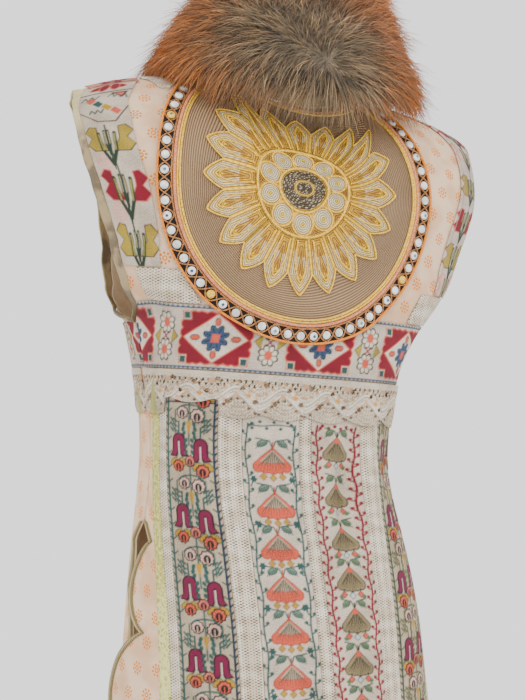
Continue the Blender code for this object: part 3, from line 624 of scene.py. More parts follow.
def fanTulip(work, cx, cy, drop, cap, outline, hatch, wide=18.5):  # a fan flower with hanging drops
    for grow, tint in ((1.0, outline), (0, cap)):
        shoulders = cy + 6 + grow
        work.shape([(cx - wide - grow, cy - 2.5), (cx - wide * 0.55, shoulders), (cx, cy + 14 + grow * 1.5),
                    (cx + wide * 0.55, shoulders), (cx + wide + grow, cy - 2.5), (cx, cy - 5)], tint)
        for k in range(-2, 3):
            work.oval(cx + k * wide / 2.7, cy - 4.6 - 1.3 * (2 - abs(k)) * 0.8, wide * 0.25 + grow,
                      4.8 + grow, tint, rise=0.0006)
    work.shape([(cx - wide * 0.66, cy + 1.0), (cx - wide * 0.35, cy + 7), (cx, cy + 13),
                (cx + wide * 0.35, cy + 7), (cx + wide * 0.66, cy + 1.0), (cx, cy - 0.8)], hatch["ground"])
    for k in range(-5, 6):
        foot = cy - 1.5 - (1.6 if k % 2 else 0)
        work.line([(cx + k * wide * 0.135, foot), (cx + k * wide * 0.08, cy + 11 - abs(k) * 1.7)], 1.0,
                  hatch["line"])
        work.line([(cx + k * wide * 0.15, cy - 8.6 + 0.5 * abs(k)), (cx + k * wide * 0.14, cy - 3)], 0.7,
                  hatch["stroke"])
    work.line([(cx, cy + 13), (cx, cy + 20)], 1.4, outline)
    for k in (-1, 0, 1):
        px, py = cx + k * 9.4, cy - 14.4 - (1.2 if k == 0 else 0)
        work.line([(px, py + 5), (px, py + 2)], 1.2, outline)
        for half, tint in ((4.1, outline), (3.1, drop[k])):
            work.diamond(px, py, half, half, tint)


def tulipWorkLeft(x, y):
    work = Needlework(x, -330 + (y + 330) * 1.05, (232, 221, 206))
    for at, side in ((-59.5, -1), (-12.0, 1)):
        vine(work, at, hem * 1000, -329, "teal", 8.2, side, 1.4)
    vine(work, -35, -330, -326, "teal", 9)
    work.line([(-58, -329.5), (-46, -331), (-30, -329), (-12, -330)], 1.4, "teal")
    for k in range(7):
        work.oval(-54 + k * 7, -326.5 if k % 2 else -333, 1.9, 1.6, "teal")
    hatch = {"ground": (206, 188, 166), "line": (112, 112, 96), "stroke": (206, 92, 66)}
    for k, cy in enumerate((-367, -412, -453, -494, -536, -580, -624, -668, -712, -756)):
        cx = -35 + (1, 1, -1, -1, 0, -1, 0, 1, 0, 0)[k]
        leafPair(work, cx, cy + 18.5, "teal", (150, 166, 146))
        fanTulip(work, cx, cy, ["olive"] * 3, "coral", (196, 96, 66), hatch)
        for lean in (-1, 1):
            work.flower(cx + lean * 19.0, cy - 17, 3.8, 6, 0.35, "teal")
            work.line([(cx + lean * 22, cy - 24), (cx + lean * 18.5, cy - 16)], 1.5, "teal")
    return work.done()


def tulipWorkRight(x, y):
    work = Needlework(x, -345 + (y + 345) * 1.08, (230, 217, 200))
    for at, side in ((12.5, -1), (58.0, 1)):
        vine(work, at, hem * 1000, -326, "crimson", 5.2, side, 1.7)
    for k in range(6):
        work.oval(18 + k * 7, -326 - (k % 2) * 2, 2.2, 1.8, "crimson")
    hatch = {"ground": (172, 158, 126), "line": (92, 84, 66), "stroke": (110, 100, 78)}
    drops = {-1: "coral", 0: "ice", 1: "coral"}
    for k, cy in enumerate((-352, -400, -446, -488, -531, -575, -619, -663, -707, -751)):
        cx = 35 + (0, 0, 1, 1, 1, 0, 0, -1, 0, 0)[k]
        leafPair(work, cx, cy + 18.5, (86, 120, 98), (146, 158, 126), 14)
        fanTulip(work, cx, cy, drops, "khaki", "black", hatch, 15.6)
        work.shape([(cx - 4.5, cy + 9.5), (cx, cy + 15), (cx + 4.5, cy + 9.5), (cx, cy + 8)], "coral")
        for lean in (-1, 1):
            work.oval(cx + lean * 13, cy - 17, 2.6, 1.9, (112, 140, 104), lean * 30)
    return work.done()


def archTulip(work, cx, cy):  # a bell with two flared feet
    for grow, tint in ((1.6, "plum"), (0, "magenta")):
        work.oval(cx, cy + 4.5, 6.2 + grow, 6.8 + grow, tint, rise=0.0006)
        for foot in (-1, 1):
            work.shape([(cx + foot * 0.8, cy + 6), (cx + foot * (5.9 + grow), cy + 4),
                        (cx + foot * (6.6 + grow), cy - 6), (cx + foot * (10 + grow), cy - 9.5 - grow),
                        (cx + foot * (4.2 - grow), cy - 11 - grow), (cx + foot * (1.6 - grow * 0.7), cy - 7)],
                       tint, rise=0.0006)
    work.line([(cx, cy + 4.5), (cx, cy - 10)], 2.6, "plum")
    work.line([(cx, cy + 3.4), (cx, cy - 11)], 1.3, "cream")


def rose(work, cx, cy, size, tint, hood=False):
    if hood:
        for lean in (-1, 1):
            work.oval(cx + lean * size * 0.95, cy + size * 0.75, size * 1.0, size * 0.62, "teal", lean * -38)
            work.oval(cx + lean * size * 0.95, cy + size * 0.75, size * 0.84, size * 0.46, "gold",
                      lean * -38)
    work.flower(cx, cy, size * 1.24, 9, 0.16, "black")
    work.flower(cx, cy, size * 0.98, 9, 0.16, tint, rise=0.0006)
    work.oval(cx, cy - size * 0.20, size * 0.56, size * 0.68, "black")
    work.line([(cx, cy + size * 0.1), (cx, cy - size * 0.9)], 1.0, tint)


def floralWork(x, y, mirror, start, stemTint, edgeTint):
    work = Needlework(x * mirror, start + (y - start) * 1.08, (208, 194, 172))
    near, far, middle = -90.5, -141.5, -116
    for at, tint in ((far, stemTint), (near, edgeTint)):
        work.line([(at, -330 + 24), (at, hem * 1000 - 40)], 2.3, tint)
        for k in range(68):
            y0 = -312 - k * 7.2
            work.line([(at, y0), (at + (3.2 if at == near else -2.6), y0 + 3.0)], 1.8, tint)
            if k % 2:
                work.line([(at, y0), (at + (-4.6 if at == near else 4.6), y0 + 3.4)], 1.5, stemTint)
    work.line([(far, -309), (near, -309)], 2.0, "navy")
    for k in range(-1, 7):
        top = start - 71.5 * k
        archTulip(work, middle - 11.5, top)
        archTulip(work, middle + 12.5, top - 5)
        work.line([(middle - 11.5, top + 12), (middle - 11.5, top + 24)], 1.9, stemTint)
        work.line([(middle + 12.5, top + 8), (middle + 12.5, top + 18)], 1.9, stemTint)
        rose(work, middle - 13.0, top - 21, 5.4, "coral", True)
        rose(work, middle + 14.0, top - 26, 6.2, "coral", True)
        rose(work, middle + 0.5, top - 16, 5.2, "pink")
        rose(work, middle - 7.6, top - 38, 5.8, "blush")
        rose(work, middle + 8.6, top - 41, 6.6, "blush")
        work.line([(middle, top - 22), (middle, top - 71)], 1.9, stemTint)
        work.shape([(middle - 3.2, top - 47), (middle + 3.2, top - 47), (middle + 1.8, top - 54),
                    (middle, top - 60), (middle - 1.8, top - 54)], "gold", rise=0.0006)
        for lean in (-1, 1):
            arm = [(middle, top - 30), (middle + lean * 8, top - 31), (middle + lean * 14, top - 35)]
            work.line(arm, 1.8, stemTint)
            for drop in range(4):
                y0 = top - 50 - drop * 4.6
                work.oval(middle + lean * (5.6 + drop % 2), y0, 2.0, 3.0, stemTint, lean * 24)
                if drop:
                    y0 = top - 40 - drop * 4.8
                    work.line([(middle + lean * 13.5, y0 - 3), (middle + lean * 18.5, y0)], 2.0, stemTint)
                    work.line([(middle + lean * 18.5, y0 - 3), (middle + lean * 22, y0 + 1)], 2.0, stemTint)
            work.line([(middle + lean * 16, top - 36), (middle + lean * 16, top - 59)], 1.7, stemTint)
            for part in range(3):
                work.oval(middle + lean * 3.4, top + 5 - part * 6, 1.8, 2.8, stemTint, lean * 24)
    return work.done()


def carnation(work, cx, cy, tint, outline, size=1.0):  # serrated petals to both sides of a tulip of leaves
    for lean in (-1, 1):
        for grow, shown in ((1.1, outline), (0, tint)):
            points = [(cx + lean * (3 - grow), cy - 13 * size - grow)]
            for k in range(5):
                out = cx + lean * ((21 if k % 2 else 15) * size + grow)
                points.append((out, cy + (-13 + k * 6.4) * size + grow * (k - 2) * 0.4))
            points.append((cx + lean * (10 * size - grow), cy + 11 * size + grow))
            points.append((cx + lean * (9.5 * size - grow), cy - 1))
            work.shape(points, shown)


def leafTulip(work, cx, cy, size=1.0):
    for lean in (-1, 1):
        foot = (cx + lean * 5.4 * size, cy + 9 * size)
        work.line([(cx, cy - 15 * size), (cx + lean * 4.6 * size, cy - 6), foot], 3.8, "green")
        work.line([(cx + lean * 4.0 * size, cy - 6), (cx + lean * 5.2 * size, cy + 8 * size)], 1.8,
                  (176, 176, 104))
        work.line([(cx, cy - 8 * size), (cx + lean * 2.4, cy + 2), (cx + lean * 2.0, cy + 11 * size)], 2.6,
                  "green")
        work.line([(cx + lean * 2.2, cy + 1), (cx + lean * 2.0, cy + 10 * size)], 1.1, (198, 190, 150))
    work.line([(cx, cy - 18 * size), (cx, cy + 9 * size)], 1.3, "green")


def shoulderWorkLeft(x, y):
    work = Needlework(x, y, (226, 214, 198))
    for cx, turn in ((-9, 20), (9, -20), (-4, 80), (6, 100)):
        work.oval(cx, 18, 9, 5, "coral", turn)
        work.oval(cx, 18, 7.4, 3.8, "crimson", turn)
    work.line([(-25, 7), (25, 5)], 1.8, "navy")
    zigzag = [(-22 + k * 3.4, (1 if k % 2 else -5) - 1) for k in range(6)]
    work.line(zigzag, 1.6, "teal")
    work.line([(4 + k * 3.2, -4 + (6 if k % 2 else 0) - k) for k in range(7)], 1.6, "teal")
    work.line([(-14 + k * 3.0, -30 + (5 if k % 2 else 0)) for k in range(6)], 1.6, "teal")
    for k, tint in enumerate(("coral", "teal", "gold", "coral")):
        px, py = -12 + k * 8, -8 - k * 7
        work.shape([(px - 5, py + 1), (px, py + 6), (px + 6, py - 1), (px + 1, py - 6)], tint)
    work.shape([(5, 3), (22, 2), (19, -9)], "brown")
    work.shape([(9, 0.5), (19, 0), (17.5, -5.5)], "pink")
    work.line([(-25, -26), (-8, -42), (10, -44), (25, -24)], 1.6, "brown")
    work.line([(-2, -48), (0, -96), (-1, -146), (2, -186)], 1.8, "green")
    for low in (-92, -140):
        work.oval(-12, low, 9, 10, "blush")
    carnation(work, 0, -64, "olive", "brown", 1.16)
    leafTulip(work, -2, -72, 1.5)
    carnation(work, 2, -114, "crimson", "pink", 1.12)
    leafTulip(work, 0, -122, 1.5)
    carnation(work, 1, -164, "olive", "brown", 1.12)
    leafTulip(work, 1, -172, 1.4)
    return work.done()


def shoulderWorkRight(x, y):
    work = Needlework(x, y, (226, 213, 202))
    cx = -5
    for cy, tint, outline in ((-18, "blush", "pink"), (-66, "olive", "brown"),
                              (-108, "crimson", "pink"), (-146, "olive", "brown"),
                              (-178, "blush", "pink"), (18, "crimson", "pink")):
        carnation(work, cx, cy, tint, outline, 0.98)
        leafTulip(work, cx, cy - 4, 1.25)
    work.line([(cx, 40), (cx, -190)], 1.3, "green")
    for side in (-21.5, 14.5):
        work.line([(side, 50), (side, -190)], 1.0, (196, 178, 156))
    for k in range(60):
        work.oval(17 + 2 * (k % 2), 48 - 4 * k, 1.3, 1.6, (196, 160, 122))
    return work.done()


def patchWork(x, y):
    work = Needlework(x, y, (216, 160, 140))
    middle = (float(np.mean(x)), float(np.mean(y)))
    for k in range(5):
        turn = k * math.pi * 2 / 5
        px, py = middle[0] + 8 * math.cos(turn), middle[1] + 6 * math.sin(turn)
        work.oval(px, py, 7, 4.5, "crimson", math.degrees(turn))
    work.oval(*middle, 3, 3, "gold")
    work.line([(middle[0] - 20, middle[1] - 12), (middle[0] + 20, middle[1] - 12)], 1.6, "navy")
    return work.done()


def laceWork(x, y):  # tapes and fans of bobbin lace, with the peach cotton showing through the net
    work = Needlework(x, y, (236, 225, 206))
    net = (np.sin(x * 2.1) * np.sin(y * 2.0) > 0.30) & (y < laceTop * 1000 - 5)
    work.colour[net] = shade(172, 146, 114)
    eyes = (np.cos(x * 2 * math.pi / 5.75) > 0.35) & (np.abs(y + 289.5) < 1.5)
    eyes |= (np.cos(x * 2 * math.pi / 5.75) < -0.35) & (np.abs(y + 293.5) < 1.3)
    work.colour[eyes] = shade(104, 80, 58)
    for k in range(-7, 8):
        cx = k * 46 + 20
        steps = np.linspace(-23, 23, 16)
        for low, amount in ((-308, 7), (-301, 6.5)):
            wave = [(cx + s, low + amount * math.cos(s / 46 * 2 * math.pi)) for s in steps]
            work.line([(px, py - 0.4) for px, py in wave], 3.6, (192, 168, 138))
            work.line(wave, 2.3, (248, 242, 230), rise=0.0007)
            work.line([(px, py + 3.4) for px, py in wave], 1.2, (246, 240, 226), rise=0.0005)
        for s in steps[::2]:
            work.oval(cx + s, -296 + 6 * math.cos(s / 46 * 2 * math.pi), 1.9, 1.5, (214, 178, 140))
            work.oval(cx + s, -312.5 + 7 * math.cos(s / 46 * 2 * math.pi), 1.7, 1.3, (120, 96, 72))
        for dx, tint in ((-10, (236, 202, 172)), (12, (238, 180, 96)), (0, (232, 196, 164))):
            work.oval(cx + dx, -305 + 3 * math.cos(dx), 2.8, 2.1, tint)
        for lean in range(-3, 4):
            work.line([(cx + 23, -319), (cx + 23 + lean * 4.4, -307 + abs(lean))], 1.4, (244, 236, 222),
                      rise=0.0006)
        work.oval(cx + 23, -290, 3.6, 3.1, (224, 190, 158))
    for low in (-284.0, -287.0):
        work.line([(-320, low), (320, low)], 1.6, "cream", rise=0.0006)
    for side in (-1, 1):  # olive ribbon gussets at the sides
        work.shape([(side * 172, -328), (side * 156, -328), (side * 164, -284)], (206, 202, 138))
    return work.done()


print("needlework charted")


# Finishes
fullTurn = 6.2832  # of the sine waves in the finishes


def stitchedCloth(name, pitch, depth, roughness, **sockets):
    made = Finish(name, Roughness=roughness, **sockets)
    x, y = made.flatPlace()
    weave = (x * (fullTurn / pitch)).math("SINE") * (y * (fullTurn / pitch)).math("SINE")
    flecks = made.noise(0.9, 4)
    soil = made.noise(0.035, 3)
    tone = 0.5 + (flecks - 0.5) * 1.9 + weave * 0.20 + (soil - 0.5) * 1.3
    paint = made.attribute("paint", "Color")
    dark = made.blend(made.soft(tone, -0.15, 1.0), opaque((0.52, 0.48, 0.44)), opaque((1.12, 1.11, 1.10)))
    made.feed("Base Color", made.blend(1.0, paint, dark, "MULTIPLY"))
    made.bump(weave * 0.5 + flecks, depth)
    return made


def printedCotton(name, base, ring):
    made = Finish(name, Roughness=0.88)
    x, y = made.flatPlace()
    row = (y / 24.0).math("FLOOR")
    u = (x + row * 13.5) % 27.0 - 13.5
    v = y % 24.0 - 12.0
    away = (u * u + v * v).math("SQRT")
    turn = v.math("ARCTAN2", u)
    petals = made.soft((turn * 8.0).math("SINE"), -0.5, 0.1)
    printed = (1 - made.soft((away - 4.9).math("ABSOLUTE"), 0.9, 1.5)) * petals
    printed = printed.math("MAXIMUM", 1 - made.soft((away - 1.9).math("ABSOLUTE"), 0.4, 1.0))
    weave = (x * 11.0).math("SINE") * (y * 11.0).math("SINE")
    soil = made.noise(0.03, 4)
    flecks = made.noise(0.7, 3)
    cloth = made.blend(made.soft(soil, 0.35, 0.7), ink(*base), ink(236, 200, 166))
    worn = printed * made.soft(flecks, 0.10, 0.34)
    made.feed("Base Color", made.blend(worn, cloth, ink(*ring)))
    made.bump(weave * 0.3 + flecks, 0.0004)
    return made


def crochetNet(name, colour, hole):
    made = Finish(name, Roughness=0.92)
    x, y = made.flatPlace()
    wander = made.noise(0.12, 2)
    across = (x * (fullTurn / 5.4) + wander * 1.5).math("SINE")
    along = (y * (fullTurn / 2.7)).math("SINE")
    diamond = ((x * 0.30 + y * 0.22).math("SINE") * (x * 0.30 - y * 0.22).math("SINE"))
    ribs = made.soft((x * (fullTurn / 10.8)).math("COSINE"), -0.4, 0.7)
    eyes = made.soft(across * along + diamond * 0.34 - ribs * 0.22, 0.22, 0.52)
    fineThread = (y * 9.0 + x * 3.0).math("SINE")
    flecks = made.noise(0.8, 4)
    yarn = made.blend(made.soft(flecks, 0.3, 0.75), ink(*colour), ink(250, 244, 232))
    soil = made.noise(0.06, 4)
    yarn = made.blend(made.soft(soil, 0.35, 0.68), ink(220, 206, 184), yarn)
    # painted shade: the net's holes are painted dark brown, for the cloth behind them lying in shade
    made.feed("Base Color", made.blend(eyes * 0.92, yarn, ink(*hole)))
    made.bump((1 - eyes) * 1.2 + fineThread * 0.12 + flecks * 0.4, 0.0009)
    return made


def velvetRibbon(name):
    made = Finish(name, Roughness=0.72)
    _, y = made.flatPlace()
    pile = made.noise(0.30, 4)
    swirl = made.node("ShaderNodeTexVoronoi", {"feature": "DISTANCE_TO_EDGE"},
                      {"Vector": made.attribute("flat"), "Scale": 0.20})
    lower = 1 - made.soft(y, -510.0, -480.0)
    raised = (1 - made.soft(swirl, 0.05, 0.30)) * lower
    tone = made.blend(made.soft(pile + raised * 0.3, 0.35, 0.75), ink(178, 172, 98),
                      ink(226, 222, 160))
    made.feed("Base Color", tone)
    made.bump(pile * 0.6 + raised, 0.0009)
    return made


def satinFacing(name, low, high):
    made = Finish(name, Roughness=0.42)
    _, y = made.flatPlace()
    folds = made.noise(0.06, 4)
    sheen = made.soft((y * 0.11 + folds * 9.0).math("SINE"), -0.9, 1.0)
    upper = made.soft(y, -80.0, -20.0)
    cloth = made.blend(sheen, ink(*low), ink(*high))
    made.feed("Base Color", made.blend(upper * 0.75, cloth, ink(226, 214, 170)))
    made.bump(folds + (y * 7.0).math("SINE") * 0.02, 0.002)
    return made


def goldBraid(name):
    made = Finish(name, Roughness=0.55, Metallic=0.25)
    u, s = made.flatPlace()
    centre = 1 - made.soft((u - 4.0).math("ABSOLUTE"), 0.9, 1.5)
    slant = (s * 3.6 + (u - 4.0).math("ABSOLUTE") * 2.6).math("SINE")
    flecks = made.noise(0.6, 3)
    cords = made.blend(made.soft(slant + flecks, -0.3, 1.2), ink(96, 86, 66), ink(198, 182, 130))
    made.feed("Base Color", made.blend(centre * 0.8, cords, ink(222, 210, 180)))
    made.bump(slant * 0.5 + flecks * 0.3, 0.0007)
    return made


def couchedCord(name):
    made = Finish(name, Roughness=0.5, Metallic=0.15)
    u, s = made.flatPlace()
    cord = (u * (fullTurn / 2.1)).math("SINE")
    twist = (s * 5.4 + u * 4.0).math("SINE")
    flecks = made.noise(0.75, 3)
    # painted shade: the gaps between the cords are darkened towards dark brown; lit is painted light on the
    # cords' crowns, mixed with random flecks
    cordGapShade = 1 - made.soft(cord + flecks * 0.5, -0.85, -0.15)
    paint = made.attribute("paint", "Color")
    lit = made.blend(made.soft(cord * 0.5 + flecks + twist * 0.15, 0.1, 1.1), opaque((0.66, 0.62, 0.58)),
                     opaque((1.30, 1.27, 1.20)))
    shown = made.blend(1.0, paint, lit, "MULTIPLY")
    # the dark brown here is painted shade in the gaps between the cords
    made.feed("Base Color", made.blend(cordGapShade * 0.50, shown, ink(58, 46, 38)))
    made.bump(cord * 0.5 + twist * 0.10 + flecks * 0.2, 0.0012)
    return made


def plainFinish(name, dark, light, scale, **sockets):
    made = Finish(name, **sockets)
    place = made.node("ShaderNodeTexCoord", None, (), out=3)
    flecks = made.noise(scale, 4, place)
    made.feed("Base Color", made.blend(made.soft(flecks, 0.35, 0.65), ink(*dark), ink(*light)))
    made.bump(flecks, 0.0004)
    return made


def furFinish(name):
    made = Finish(name, Roughness=0.62)
    made.surface.inputs["Sheen Weight"].default_value = 0.15
    flecks = made.noise(0.4, 2)
    tone = made.blend(made.soft(flecks, 0.3, 0.7), opaque((0.86, 0.84, 0.82)), opaque((1.12, 1.10, 1.08)))
    made.feed("Base Color", made.blend(1.0, made.attribute("paint", "Color"), tone, "MULTIPLY"))
    return made


finishes = {
    "stitched": stitchedCloth("crossStitch", 1.25, 0.0006, 0.86),
    "lace": stitchedCloth("bobbinLace", 1.7, 0.0009, 0.92),
    "cotton": printedCotton("printedCotton", (250, 224, 196), (240, 158, 22)),
    "lining": plainFinish("cottonLining", (196, 176, 150), (214, 196, 170), 60, Roughness=0.9),
    # the crochet's dark brown is painted shade in the net's holes
    "crochet": crochetNet("crochet", (236, 226, 208), (116, 90, 64)),
    "ribbon": velvetRibbon("oliveVelvet"),
    "satin": satinFacing("satinFacing", (128, 112, 84), (178, 160, 124)),
    "braid": goldBraid("goldBraid"),
    "cord": couchedCord("couchedCord"),
    "velvet": plainFinish("blackGround", (26, 24, 28), (48, 44, 46), 220, Roughness=0.9),
    "orange": plainFinish("orangeCord", (206, 124, 34), (240, 170, 66), 900, Roughness=0.6),
    "copper": plainFinish("copperCord", (142, 96, 58), (206, 158, 108), 900, Roughness=0.45, Metallic=0.35),
    "salmon": plainFinish("salmonTwist", (196, 122, 88), (236, 176, 142), 900, Roughness=0.7),
    "goldCord": plainFinish("goldCord", (208, 162, 58), (254, 224, 112), 900, Roughness=0.45, Metallic=0.2),
    "pearl": plainFinish("pearlBead", (206, 206, 200), (240, 244, 244), 120, Roughness=0.18, Coat_Weight=0.6),
    "beadEye": plainFinish("beadEye", (52, 84, 112), (126, 156, 176), 300, Roughness=0.2),
    "fur": furFinish("foxFur"),
}
print("finishes made")


# The body of the vest
marks = {
    back: ((0, 0.064, 0.087, 0.171), (0, 0.060, neckHalfWidth, 0.165)),
    front: ((0.009, 0.017, 0.036, 0.054, 0.072, 0.096, 0.121, 0.146),
            (0.009, 0.030, 0.052, 0.064, neckHalfWidth, 0.098, 0.133, 0.170)),
}


def panelPlace(side, share, level):  # share runs from the centre, or the front edge, to the side
    start = 0.0 if side == back else frontGap
    edge = edgeAt(side, level)
    flat = mixed(start, edge, share)
    low, high = marks[side]
    atYoke = mixed(start, edgeAt(side, yoke), share)
    part = np.clip((level - yoke) / (shoulder - seam / 2 - yoke), 0, 1)
    topAcross = np.interp(atYoke, low, high)
    height = mixed(yoke, neckline(side, topAcross), part)
    closing = mixed(atYoke, topAcross, part)
    last = mixed(low[-1], high[-1], part)
    outer = last + (edge - last) * (atYoke - low[-1]) / (edgeAt(side, yoke) - low[-1])
    closing = np.where(atYoke > low[-1], outer, closing)
    above = level > yoke
    return np.where(above, closing, flat), np.where(above, height, level)


def backPlace(a, b):
    across, height = panelPlace(back, np.abs(2 * a - 1), mixed(hem, shoulder - seam / 2, b))
    return across * np.sign(a - 0.5), height


def frontPlace(hand):
    def place(a, b):
        across, height = panelPlace(front, a if hand > 0 else 1 - a, mixed(hem, shoulder - seam / 2, b))
        return across * hand, height
    return place


backNodes = ["back_panel_skirt", "back_panel_waist", "back_panel_chest"]
layCloth("backPanel", back, 104, 168, backPlace, 0, finishes["cotton"], backNodes, "hung",
         ("collarStand",), rim=0, lining=finishes["lining"])
hands, faces = ((1, "Left"), (-1, "Right")), ((back, "Back"), (front, "Front"))
for hand, name in hands:
    layCloth("frontPanel" + name, front, 42, 168, frontPlace(hand), 0, finishes["cotton"],
             [f"front_panel_{part}_{name.lower()}" for part in ("skirt", "chest")], "hung", ("collarStand",),
             rim=0, lining=finishes["lining"])


def between(xLow, xHigh, low, high):  # each bound is a number or a function: of the height, or of x
    def place(a, b):
        if callable(low):
            x = mixed(xLow, xHigh, a)
            return x, mixed(low(x), high(x) if callable(high) else high, b)
        height = mixed(low, high, b)
        left = xLow(height) if callable(xLow) else xLow
        right = xHigh(height) if callable(xHigh) else xHigh
        return mixed(left, right, a), height
    return place


def mirrored(inner, outer, hand):  # bounds that are functions of the height, for one hand or the other
    return (inner, outer) if hand > 0 else (lambda h: -outer(h), lambda h: -inner(h))


def edgeLess(side, amount):  # the side edge, drawn in by an amount
    return lambda h: edgeAt(side, h) - amount


def laceFoot(x):  # small scallops
    return stripTop - 0.005 * np.abs(np.sin(math.pi * x / 0.046))


def laceRise(x):  # above the left floral strip the lace ends higher
    return np.where((x < -0.087) & (x > -0.145), 0.013, 0.0)


def laceHem(x):
    return laceFoot(x) + laceRise(x)


def laceHoles(side):
    def holes(x, height):
        phase = (x + 0.020) / 0.046 % 1
        low = laceHem(x) if side == back else np.full(len(x), stripTop)
        share = (height - low) / (laceTop - low)
        found = np.zeros(len(x), bool)
        for px, py, rx, ry in ((0.28, 0.34, 0.0026, 0.0022), (0.70, 0.34, 0.0026, 0.0022),
                               (0.50, 0.72, 0.0030, 0.0024), (0.0, 0.66, 0.0024, 0.0020)):
            away = ((phase - px + 0.5) % 1 - 0.5) * 0.046
            found |= (away / rx) ** 2 + ((share - py) * (laceTop - low) / ry) ** 2 < 1
        return found
    return holes


outerFace, bandInset, braidClear = 0.0017, 0.0015, 0.0006
ends = (lambda h: bandInset - edgeAt(back, h)), edgeLess(back, bandInset)
layCloth("waistBandBack", back, 380, 52, between(*ends, laceTop, bandTop), outerFace, finishes["stitched"],
         ["waist_band_back"], paint=bandWork)


def laceBackPlace(a, b):
    edge = edgeAt(back, mixed(stripTop, laceTop, b)) - bandInset
    x = mixed(-edge, edge, a)
    return x, mixed(laceHem(x), laceTop - 0.0006, b)


layCloth("laceBandBack", back, 360, 38, laceBackPlace, 0.0039, finishes["lace"], ["lace_band_back"],
         paint=laceWork, holes=laceHoles(back))
for hand, name in hands:
    inner = frontGap + braidWidth + braidClear
    ends = mirrored(lambda h: inner, edgeLess(front, bandInset), hand)
    layCloth("waistBandFront" + name, front, 150, 40, between(*ends, laceTop, underarm), outerFace,
             finishes["stitched"], ["waist_band_front_" + name.lower()], paint=bandWork,
             restsOn=("frontPanel" + name,))
    edge = float(edgeAt(front, stripTop)) - 0.004
    span = (inner, edge) if hand > 0 else (-edge, -inner)
    layCloth("laceBandFront" + name, front, 150, 36, between(*span, laceFoot, laceTop - 0.0006), 0.0020,
             finishes["lace"], ["lace_band_front_" + name.lower()], paint=laceWork,
             holes=laceHoles(front), restsOn=("frontPanel" + name,))
print("bands laid")

# Long strips of the skirt
skirtFoot = hemBraidTop + 0.0006
strips = (  # name, low side, high side, columns, rows, finish, slot, chart
    ("tulipStripLeft", -0.064, -0.0065, 56, 420, "stitched", "tulip_strip", tulipWorkLeft),
    ("tulipStripRight", 0.0065, 0.064, 56, 420, "stitched", "tulip_strip", tulipWorkRight),
    ("floralStripLeft", -0.145, -0.087, 58, 430, "stitched", "floral_strip",
     lambda x, y: floralWork(x, y, 1, -353, "teal", "navy")),
    ("floralStripRight", 0.087, 0.145, 58, 420, "stitched", "floral_strip",
     lambda x, y: floralWork(x, y, -1, -344, (118, 124, 84), (70, 96, 84))),
    ("crochetCentre", -0.0065, 0.0065, 6, 210, "crochet", "crochet", None),
    ("crochetInnerLeft", -0.087, -0.064, 10, 210, "crochet", "crochet", None),
    ("crochetInnerRight", 0.064, 0.087, 10, 210, "crochet", "crochet", None),
    ("crochetOuterLeft", -0.157, -0.145, 6, 210, "crochet", "crochet", None),
    ("crochetOuterRight", 0.145, 0.157, 6, 210, "crochet", "crochet", None),
    ("ribbonLeft", -0.171, -0.157, 8, 210, "ribbon", "ribbon", None),
    ("ribbonRight", 0.157, 0.171, 8, 210, "ribbon", "ribbon", None),
)
for name, low, high, columns, rows, finish, slotName, chart in strips:
    node = "".join("_" + c.lower() if c.isupper() else c for c in name)
    top = stripTop + 0.006 + (0.013 if name == "floralStripLeft" else 0)
    layCloth(name, back, columns, rows, between(low + 0.0003, high - 0.0003, skirtFoot, top), outerFace,
             finishes[finish], [node], paint=chart)
print("skirt strips laid")

# Cloths at the shoulders
patchFace = 0.0021


def shoulderStrip(hand, high):
    low = -0.188

    def width(height):
        return 0.050 - 0.010 * ease(-height, 0.10, 0.19)

    def place(a, b):
        height = mixed(low, high, b)
        outer = edgeAt(back, height) - 0.002
        across = outer - width(height) * (a if hand > 0 else 1 - a)
        return -hand * across, height

    def own(a, b, x, height):
        return (a - 0.5) * 50, height * 1000

    return place, own


def cornerPlace(corners, hand):  # lower in, lower out, upper out, upper in
    def place(a, b):
        a = 1 - a if hand > 0 else a
        lowIn, lowOut, highOut, highIn = [np.array(c) for c in corners]
        low = [mixed(lowIn[k], lowOut[k], a) for k in (0, 1)]
        high = [mixed(highIn[k], highOut[k], a) for k in (0, 1)]
        return -hand * mixed(low[0], high[0], b), mixed(low[1], high[1], b)
    return place


top, seamEdge = shoulder - 0.003, float(edgeAt(back, shoulder - 0.02)) - 0.003
laceCorners = {
    1: ((0.132, top - 0.052), (0.143, top - 0.052), (0.152, top), (0.098, top)),
    -1: ((0.140, top - 0.020), (seamEdge, top - 0.020), (seamEdge, top), (0.104, top)),
}
yokeCorners = ((0.112, -0.2195), (0.168, -0.2195), (0.178, -0.1895), (0.130, -0.1895))
for hand, name, high, work in ((1, "Left", shoulder - 0.034, shoulderWorkLeft),
                               (-1, "Right", shoulder - 0.024, shoulderWorkRight)):
    lower = name.lower()
    place, own = shoulderStrip(hand, high)
    layCloth("shoulderStrip" + name, back, 52, 216, place, patchFace, finishes["stitched"],
             ["shoulder_strip_" + lower], own=own, paint=work)
    layCloth("shoulderLace" + name, back, 24, 24, cornerPlace(laceCorners[hand], hand), patchFace,
             finishes["crochet"], ["shoulder_lace_" + lower])
    layCloth("yokeLace" + name, back, 24, 14, cornerPlace(yokeCorners, hand), patchFace, finishes["crochet"],
             ["yoke_lace_" + lower])
patchCorners = ((0.158, top - 0.030), (seamEdge, top - 0.030), (seamEdge, top), (0.153, top))
layCloth("shoulderPatchLeft", back, 44, 28, cornerPlace(patchCorners, 1), patchFace, finishes["stitched"],
         ["shoulder_patch_left"], paint=patchWork)
print("shoulders laid")

